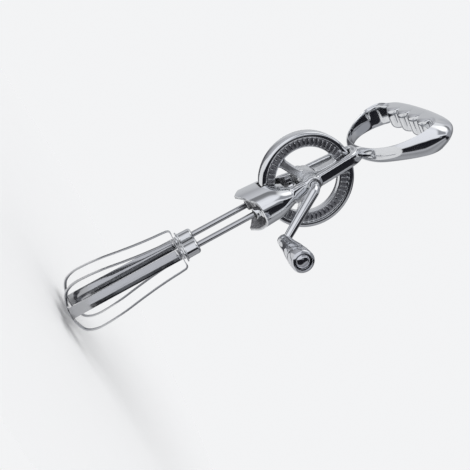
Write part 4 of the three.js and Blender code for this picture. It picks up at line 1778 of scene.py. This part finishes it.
@dataclass
class BeaterHead:
    """One shaft with its pinion, crossed ribbon loops and fastenings.

    Attributes:
        end: The side that it is on.
        shaft: Radius of the shaft.
        shaft_top: Depth of its upper end.
        shaft_past: How far its lower end reaches past the inner ribbon's top.
        ribbon_top: Depth of the outer ribbon's top.
        nest: Distance between the two ribbons' middles where they cross.
        tip: Depth of the outer ribbon's foot.
        reach: Outer radius of the head.
        route_shares: A ribbon's route, in shares of its reach and of its height.
        width: Width of a ribbon.
        thickness: Its thickness.
        crease: Height of its crease.
        creased: Shares of the reach between which the crease begins.
        rest: Direction of the outer ribbon at rest, in degrees.
        pinion_teeth: Teeth of the pinion.
        pinion_pitch: Its pitch radius.
        pinion_span: Depths of its upper and lower face.
        addendum: Height of its teeth outside the pitch radius.
        dedendum: Their depth inside it.
        tooth_root: Width of a tooth at its root.
        tooth_tip: Width of its tip.
        pinion_hub: Radius and length of its hub.
        rivet: Radius and height of the rivet's heads.
        shank: Radius of its shank.
    """

    end: End
    shaft: float = 2.15
    shaft_top: float = 18.2
    shaft_past: float = 2.0
    ribbon_top: float = 107.2
    nest: float = 0.9
    tip: float = 196.0
    reach: float = 18.0
    route_shares: tuple[tuple[float, float], ...] = (
        (0.3, 0), (0.5, 0.002), (0.585, 0.014), (0.615, 0.05), (0.65, 0.15), (0.71, 0.28), (0.81, 0.44),
        (0.94, 0.62), (1, 0.77), (0.985, 0.87), (0.84, 0.945), (0.5, 0.985), (0.2, 1))
    width: float = 8.0
    thickness: float = 0.6
    crease: float = 1.0
    creased: Limits = (0.35, 0.60)
    rest: float = -22.5
    pinion_teeth: int = 13
    pinion_pitch: float = 7.1125
    pinion_span: tuple[float, float] = (25.6, 31.3)
    addendum: float = 0.9
    dedendum: float = 1.15
    tooth_root: float = 2.0
    tooth_tip: float = 0.75
    pinion_hub: tuple[float, float] = (4.2, 6.5)
    rivet: tuple[float, float] = (2.3, 0.9)
    shank: float = 1.1

    def ribbon_outline(self, crown: float, columns: int = 6) -> Profile:
        """A ribbon's section.

        Args:
            crown: Height of its crease there.
            columns: Faces across it.

        Returns:
            Its lower side and then its upper side.
        """
        half = self.thickness / 2
        spread = [self.width * (k / columns - 0.5) for k in range(columns + 1)]
        rise = [crown * (1 - abs(2 * a / self.width)) for a in spread]
        lower = [(a, r - half) for a, r in zip(spread, rise)]
        return lower + [(a, r + half) for a, r in zip(reversed(spread), reversed(rise))]

    def ribbon(self, inside: int) -> bmesh.types.BMesh:
        """One creased ribbon loop.

        Args:
            inside: How many ribbons lie outside it.

        Returns:
            The mesh.
        """
        top = -self.ribbon_top - inside * self.nest
        foot = -self.tip + self.thickness / 2 + inside * self.nest
        reach = self.reach - self.thickness / 2 - inside * self.nest
        wing = [Vector((r * reach, 0, grow(top, foot, z))) for r, z in self.route_shares]
        other = [Vector((-p.x, 0, p.z)) for p in reversed(wing)]
        anchors = [Vector((0, 0, top)), *wing, Vector((0, 0, foot)), *other]
        stations = []
        for centre, way in curve_points(anchors, count=320, closed=True):
            outline = self.ribbon_outline(self.crease * smooth(abs(centre.x) / reach, *self.creased))
            stations.append(Station(centre, Y_AXIS, Vector((-way.z, 0, way.x)), outline))
        bm = sweep(stations, closed=True)
        soften(bm, width=0.12, sharper_than=1.0)
        rotate(bm, math.radians(self.rest + 90 * inside), "Z")
        shift(bm, (0, self.end.shaft_place, 0))
        return bm

    def pinion(self) -> bmesh.types.BMesh:
        """The toothed rim and its pinned hub.

        Returns:
            Two closed meshes that meet.
        """
        bm = bmesh.new()
        top, foot = self.pinion_span
        root, tip = self.pinion_pitch - self.dedendum, self.pinion_pitch + self.addendum
        corners = [(root, -self.tooth_root), (tip, -self.tooth_tip), (tip, self.tooth_tip),
                   (root, self.tooth_root)]
        ring = bmesh.ops.create_circle(bm, segments=4 * self.pinion_teeth, radius=1.0)["verts"]
        for k, vert in enumerate(ring):
            tooth, corner = divmod(k, 4)
            radius, width = corners[corner]
            angle = TAU * tooth / self.pinion_teeth - self.end.value * math.pi / 2 + width / 2 / radius
            vert.co = Vector((radius * math.cos(angle), radius * math.sin(angle), -foot))
        extrude(bm, bmesh.ops.contextual_create(bm, geom=ring_loop(bm, ring))["faces"], (0, 0, foot - top))
        soften(bm, width=0.16, sharper_than=0.4)
        shift(bm, (0, self.end.shaft_place, 0))
        radius, length = self.pinion_hub
        low = -top - PLAY
        return self.on_shaft(bar(radius, low, low + length), target=bm, bevel=0.3)

    def on_shaft(self, profile: Profile, steps: int = 64, target: bmesh.types.BMesh | None = None,
                 bevel: float = 0.0) -> bmesh.types.BMesh:
        """Turns a profile on the shaft's line."""
        return turn(profile, Axis.ALONG_SHAFT, (0, self.end.shaft_place, 0), steps, target, bevel)

    def build(self, finishes: Finishes) -> None:
        """Builds the head's pieces and dresses them.

        Args:
            finishes: The shared materials.
        """
        word, body = self.end.word, f"beater_{self.end.word}"
        for inside, which in enumerate(("outer", "inner")):
            place_piece(f"{word}_{which}_loop", self.ribbon(inside), body, finishes.blade,
                        [f"{word}_{which}_ribbon"], angle=40.0)
        place_piece(f"{word}_drive_pinion", self.pinion(), body, finishes.nylon,
                    [f"{word}_pinion"])
        rod = bar(self.shaft, -self.ribbon_top - self.nest - self.shaft_past, -self.shaft_top)
        place_piece(f"{word}_rod", self.on_shaft(rod, bevel=0.3), body, finishes.rod,
                    [f"{word}_shaft"])
        foot = -self.tip - PLAY
        head = foot + self.nest + self.thickness + 2 * PLAY
        rivet = [*[(r, foot - h) for r, h in dome(*self.rivet)], (self.shank, foot), (self.shank, head),
                 *[(r, head + h) for r, h in reversed(dome(*self.rivet))]]
        place_piece(f"{word}_rivet", self.on_shaft(rivet, steps=48), body, finishes.pin,
                    [f"{word}_tip_rivet"])


@dataclass
class LowerBracket:
    """Two drawn cups on a waisted plate that hold the shafts apart above the heads.

    Attributes:
        top: Depth of the cups' tops.
        cup: Height of a cup.
        crown: Radius of its rounded shoulder.
        top_radius: Its radius below the shoulder.
        foot_radius: Its radius above the flare.
        fillet: Radius of the flare at its foot.
        wall: Thickness of its wall.
        wall_taper: How much thinner the wall is at the foot.
        bore: Radius of the hole for the shaft.
        thickness: Thickness of the plate.
        plate_radius: Radius of its round ends.
        waist: Width between them.
    """

    top: float = 93.0
    cup: float = 11.0
    crown: float = 2.2
    top_radius: float = 5.7
    foot_radius: float = 5.8
    fillet: float = 1.5
    wall: float = 0.9
    wall_taper: float = 0.2
    bore: float = 2.45
    thickness: float = 1.1
    plate_radius: float = 7.4
    waist: float = 7.5

    @property
    def foot(self) -> float:
        """Height of the plate's lower face."""
        return -self.top - self.cup - self.thickness

    def plate(self) -> bmesh.types.BMesh:
        """The waisted plate.

        Returns:
            A closed mesh.
        """
        bm = bmesh.new()
        half_turn = math.pi - math.asin(self.waist / 2 / self.plate_radius)
        steps, verts = 40, []
        for end in reversed(End):
            start = end.value * math.pi / 2 - half_turn
            for k in range(steps + 1):
                angle = start + 2 * half_turn * k / steps
                y = end.shaft_place + self.plate_radius * math.sin(angle)
                verts.append(bm.verts.new((self.plate_radius * math.cos(angle), y, self.foot)))
        extrude(bm, [bm.faces.new(verts)], (0, 0, self.thickness))
        soften(bm, width=0.25, sharper_than=0.8)
        return bm

    def cup_profile(self) -> Profile:
        """A cup's wall, as a loop.

        Returns:
            Pairs of a radius and a height.
        """
        shoulder = [(self.top_radius - self.crown * (1 - math.sin(a)),
                     -self.top - self.crown * (1 - math.cos(a))) for a in quarter()]
        flare = [(self.foot_radius + self.fillet * (1 - math.cos(a)),
                  self.foot + self.thickness + self.fillet * (1 - math.sin(a))) for a in quarter()]
        inner, ceiling = self.top_radius - self.wall, -self.top - self.crown
        sunk = self.foot + self.thickness / 2
        return [(self.bore, -self.top), *shoulder, *flare, (flare[-1][0], sunk),
                (inner + self.wall_taper, sunk), (inner, ceiling), (self.bore, ceiling),
                (self.bore, -self.top)]

    def build(self, finishes: Finishes) -> None:
        """Builds the bracket and dresses it.

        Args:
            finishes: The shared materials.
        """
        bm = self.plate()
        for end in End:
            turn(self.cup_profile(), Axis.ALONG_SHAFT, (0, end.shaft_place, 0), target=bm)
        place_piece("cup_bracket", bm, "frame", finishes.cup, ["lower_bracket"])


# The studio


class Way(Enum):
    """What the room's panels are bounded along, in the picture's own directions."""

    SIDEWAYS = "to the right"
    EITHER_SIDE = "to the right or left"
    HEIGHT = "up"
    FACING = "back to the camera"


@dataclass(frozen=True)
class Panel:
    """A part of the room with soft edges.

    Attributes:
        tint: Its colour.
        rises: Where it begins: a direction and the two levels of a smooth step.
        falls: Where it ends again.
    """

    tint: Colour
    rises: tuple[tuple[Way, float, float], ...]
    falls: tuple[tuple[Way, float, float], ...] = ()

    def over(self, colour: Signal, ways: dict[Way, Signal]) -> Signal:
        """Lays the panel on the room.

        Args:
            colour: The room so far.
            ways: How far the view goes along each direction.

        Returns:
            The room with the panel.
        """
        first, *others = [ways[way].span(low, high) for way, low, high in self.rises]
        for edge in [*others, *[1.0 - ways[way].span(low, high) for way, low, high in self.falls]]:
            first = first * edge
        return colour.graph.blend(first, colour, self.tint)


@dataclass(frozen=True)
class Spot:
    """A round patch of the room with a soft edge.

    Attributes:
        tint: Its colour.
        towards: Its middle along the picture's right, up and the way back to the camera.
        limits: Cosines of the angles where it begins and where it is full.
    """

    tint: Colour
    towards: tuple[float, float, float]
    limits: Limits

    def over(self, colour: Signal, view: Signal, axes: Sequence[Vector]) -> Signal:
        """Lays the patch on the room.

        Args:
            colour: The room so far.
            view: The direction that is looked at.
            axes: The picture's right and up and the direction back to the camera.

        Returns:
            The room with the patch.
        """
        graph = colour.graph
        middle = sum((axis * share for axis, share in zip(axes, self.towards)), Vector()).normalized()
        return graph.blend(graph.dot(view, middle).span(*self.limits), colour, self.tint)


@dataclass(frozen=True)
class Room:
    """What metal shows: a ring of panels round the sideways axis, lit on one side.

    Attributes:
        tones: Grey levels round the ring, each after its place. 0 and 1 are opposite the camera,
            0.25 is below and 0.75 above.
        twist: How far the ring turns on one side, and the sideways levels between which it does.
        panels: Parts laid over the ring.
        opening: Levels of facing at which the view past the object ends, where the paper shows.
        edge: Levels of facing between which the frame of that opening ends, and its strength.
        rim: Levels of height between which the frame changes from pale to dark.
        rim_tints: The frame's two colours.
        wall: A grey wall behind the object.
        glow: The lamp's colour.
        glow_limits: Cosines of the angles where the lamp's glow begins and is full.
    """

    tones: tuple[tuple[float, float], ...] = (
        (0.00, 0.30), (0.06, 0.16), (0.12, 0.34), (0.18, 0.42), (0.23, 0.36), (0.265, 0.30),
        (0.31, 0.50), (0.322, 0.48), (0.337, 0.02), (0.438, 0.01), (0.454, 0.95), (0.60, 1.00),
        (0.65, 0.85), (0.675, 0.42), (0.70, 0.26), (0.75, 0.24), (0.77, 0.70), (0.82, 0.62),
        (0.88, 0.42), (0.94, 0.20), (1.00, 0.30))
    twist: tuple[float, float, float] = (0.04, 0.2, 0.7)
    panels: tuple[Panel, ...] = (
        Panel((0.36, 0.37, 0.40),
              ((Way.FACING, 0.45, 0.65), (Way.HEIGHT, 0.02, 0.14), (Way.SIDEWAYS, 0.16, 0.30))),
        Panel((0.24, 0.25, 0.27),
              ((Way.FACING, 0.60, 0.70), (Way.HEIGHT, -0.42, -0.34), (Way.SIDEWAYS, 0.34, 0.42)),
              ((Way.HEIGHT, -0.16, -0.10), (Way.SIDEWAYS, 0.50, 0.58))),
        Panel((0.90, 0.91, 0.93), ((Way.HEIGHT, 0.78, 0.90), (Way.SIDEWAYS, 0.02, 0.15))),
        Panel((0.34, 0.35, 0.38), ((Way.EITHER_SIDE, 0.84, 0.95),)),
        Panel((0.02, 0.02, 0.025), ((Way.SIDEWAYS, 0.83, 0.90), (Way.HEIGHT, -0.50, -0.42)),
              ((Way.HEIGHT, -0.25, -0.15),)))
    opening: Limits = (-0.975, -0.955)
    edge: tuple[float, float, float] = (-0.90, -0.74, 0.85)
    rim: Limits = (-0.25, 0.05)
    rim_tints: tuple[Colour, Colour] = ((0.34, 0.35, 0.37), (0.05, 0.05, 0.06))
    wall: Spot = Spot((0.62, 0.63, 0.65), (0.10, 0.52, -0.85), (0.88, 0.95))
    glow: Colour = (1.5, 1.5, 1.5)
    glow_limits: Limits = (0.90, 0.98)

    @staticmethod
    def cool(tone: float) -> Colour:
        """A grey level with the photograph's slight blue."""
        return tone, tone * 1.015, tone * 1.06 + 0.004

    def ring(self, ways: dict[Way, Signal]) -> Signal:
        """The ring of panels.

        Args:
            ways: How far the view goes along each direction.

        Returns:
            The ring's colour.
        """
        height, facing, sideways = ways[Way.HEIGHT], ways[Way.FACING], ways[Way.SIDEWAYS]
        graph = height.graph
        twist, low, high = self.twist
        place = graph.node("Math", {"operation": "ARCTAN2"}, {0: height, 1: facing}) / TAU + 0.5
        place = place - sideways.span(low, high) * twist
        stops = [(at, self.cool(tone)) for at, tone in self.tones]
        return graph.node("ValToRGB", {"stops": stops}, {0: place})

    def colour(self, graph: Graph, axes: Sequence[Vector], lamp: Vector, paper: Colour) -> Signal:
        """The whole room.

        Args:
            graph: The world's nodes.
            axes: The picture's right and up and the direction back to the camera.
            lamp: Direction towards the lamp.
            paper: Colour of the lit paper behind the object.

        Returns:
            The colour in the direction that is looked at.
        """
        view = graph.node("TexCoord", out="Generated")
        sideways, height, facing = (graph.dot(view, axis) for axis in axes)
        ways = {Way.SIDEWAYS: sideways, Way.EITHER_SIDE: sideways.size(), Way.HEIGHT: height,
                Way.FACING: facing}
        colour = self.ring(ways)
        for panel in self.panels:
            colour = panel.over(colour, ways)
        low, high, strength = self.edge
        frame = graph.blend(height.span(*self.rim), *self.rim_tints)
        colour = graph.blend((1.0 - facing.span(low, high)) * strength, colour, frame)
        colour = graph.blend(1.0 - facing.span(*self.opening), colour, paper)
        colour = self.wall.over(colour, view, axes)
        glow = Spot(self.glow, tuple(axis.dot(lamp) for axis in axes), self.glow_limits)
        return glow.over(colour, view, axes)


@dataclass(frozen=True)
class Studio:
    """Camera, pale table, one soft lamp and the room that metal shows.

    Attributes:
        eye: The camera's place.
        right: The picture's right in the object's frame.
        up: The picture's up.
        lens: Focal length for the sensor's width, in millimetres.
        sensor: The sensor's width.
        clip: Nearest and farthest distance that is seen.
        table: Place of the table's middle.
        table_reach: Its radius.
        paper: Its colour.
        fibre: Its faint cloudy grain.
        fibre_share: How much of it shows.
        fibre_dim: Share of the colour that is left where it is densest.
        fibre_fade: Distances from the middle between which the grain fades.
        lamp: Direction towards the lamp.
        lamp_power: The lamp's strength.
        lamp_spread: Its width in degrees.
        ambient: Light from everywhere that falls on matt surfaces.
        room: What metal shows.
    """

    eye: tuple[float, float, float] = (-0.19442, -0.49160, -0.19442)
    right: tuple[float, float, float] = (0.42148, -0.23255, 0.87652)
    up: tuple[float, float, float] = (-0.82032, 0.31425, 0.47783)
    lens: float = 55.35
    sensor: float = 36.0
    clip: Limits = (0.01, 50.0)
    table: tuple[float, float, float] = (0.0, 0.14, -0.2990)
    table_reach: float = 0.36
    paper: Colour = (0.885, 0.890, 0.900)
    fibre: Pattern = Pattern(40.0)
    fibre_share: float = 0.4
    fibre_dim: float = 0.97
    fibre_fade: Limits = (0.2, 0.4)
    lamp: tuple[float, float, float] = (-0.55, -0.25, 0.80)
    lamp_power: float = 1.15
    lamp_spread: float = 38.0
    ambient: float = 0.72
    room: Room = Room()

    @property
    def backdrop(self) -> Colour:
        """The lit table's colour, so that its edge doesn't show."""
        lit = self.lamp_power * Vector(self.lamp).normalized().z / math.pi
        return shade(self.paper, self.ambient + lit)

    @property
    def axes(self) -> tuple[Vector, Vector, Vector]:
        """The picture's right and up and the direction back to the camera."""
        right, up = Vector(self.right).normalized(), Vector(self.up).normalized()
        return right, up, right.cross(up)

    def set_camera(self) -> None:
        """Sets the camera at the photograph's place."""
        data = bpy.data.cameras.new("camera")
        data.lens = self.lens
        data.sensor_width = self.sensor
        data.clip_start, data.clip_end = self.clip
        made = bpy.data.objects.new("camera", data)
        made.matrix_world = Matrix.Translation(self.eye) @ Matrix(self.axes).transposed().to_4x4()
        bpy.context.scene.collection.objects.link(made)
        bpy.context.scene.camera = made

    def lay_table(self) -> None:
        """Lays the round table, which can't be seen from below."""
        bm = bmesh.new()
        bmesh.ops.create_circle(bm, cap_ends=True, segments=128, radius=self.table_reach)
        made = loose_object("table", bm)
        made.location = self.table
        material = bpy.data.materials.new("pale_paper")
        graph = Graph(material)
        spread = graph.node("VectorMath", {"operation": "LENGTH"}, {0: graph.place()}, out="Value")
        fibre = graph.noise(self.fibre) * self.fibre_share * (1.0 - spread.span(*self.fibre_fade))
        colour = graph.blend(fibre, self.paper, shade(self.paper, self.fibre_dim))
        sheet = graph.node("BsdfDiffuse", {}, {"Color": colour})
        below = graph.node("NewGeometry", out="Backfacing")
        graph.finish(graph.node("MixShader", {}, {0: below, 1: sheet, 2: graph.node("BsdfTransparent")}))
        made.data.materials.append(material)

    def surround(self) -> None:
        """Shows the room in metal, even light to matt surfaces and paper to the camera."""
        world = bpy.data.worlds.new("room")
        bpy.context.scene.world = world
        graph = Graph(world)
        room = self.room.colour(graph, self.axes, Vector(self.lamp), self.backdrop)
        mirrored = graph.node("LightPath", out="Is Glossy Ray")
        level = graph.blend(mirrored, (self.ambient, self.ambient, self.ambient), room)
        seen = graph.node("LightPath", out="Is Camera Ray")
        shown = graph.blend(seen, level, self.backdrop)
        graph.finish(graph.node("Background", {}, {"Color": shown, "Strength": 1.0}))

    def hang_lamp(self) -> None:
        """Hangs one soft lamp, as wide as a large diffuser, whose glow in metal is the room's."""
        data = bpy.data.lights.new("diffuser", "SUN")
        data.energy = self.lamp_power
        data.angle = math.radians(self.lamp_spread)
        made = bpy.data.objects.new("diffuser", data)
        made.rotation_mode = "QUATERNION"
        made.rotation_quaternion = Vector(self.lamp).to_track_quat("Z", "Y")
        made.visible_glossy = False
        bpy.context.scene.collection.objects.link(made)

    def build(self) -> None:
        """Sets the whole studio up."""
        self.set_camera()
        self.lay_table()
        self.surround()
        self.hang_lamp()
        bpy.context.scene.view_settings.view_transform = "Standard"


def dress_nodes(frame: dict, finishes: Finishes) -> None:
    """Gives the solids that stay their materials.

    Args:
        finishes: The shared materials.
    """
    choices = {"washer": finishes.pin, "pin": finishes.pin, "nut": finishes.pin, "bush": finishes.bush}
    for name, node in frame["nodes"].items():
        for word, material in choices.items():
            if name.endswith(word):
                for holder in node.material_slots:
                    holder.material = material
                break


def main() -> None:
    """Builds the scene."""
    logging.basicConfig(level=logging.INFO, format="%(name)s: %(message)s")
    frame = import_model()
    finishes = Finishes()
    Casting().build(finishes)
    CrownWheel().build(finishes)
    Crank().build(finishes)
    AxleFittings().build(finishes)
    for end in End:
        BeaterHead(end).build(finishes)
    LowerBracket().build(finishes)
    dress_nodes(frame, finishes)
    Studio().build()


if __name__ == "__main__":
    main()
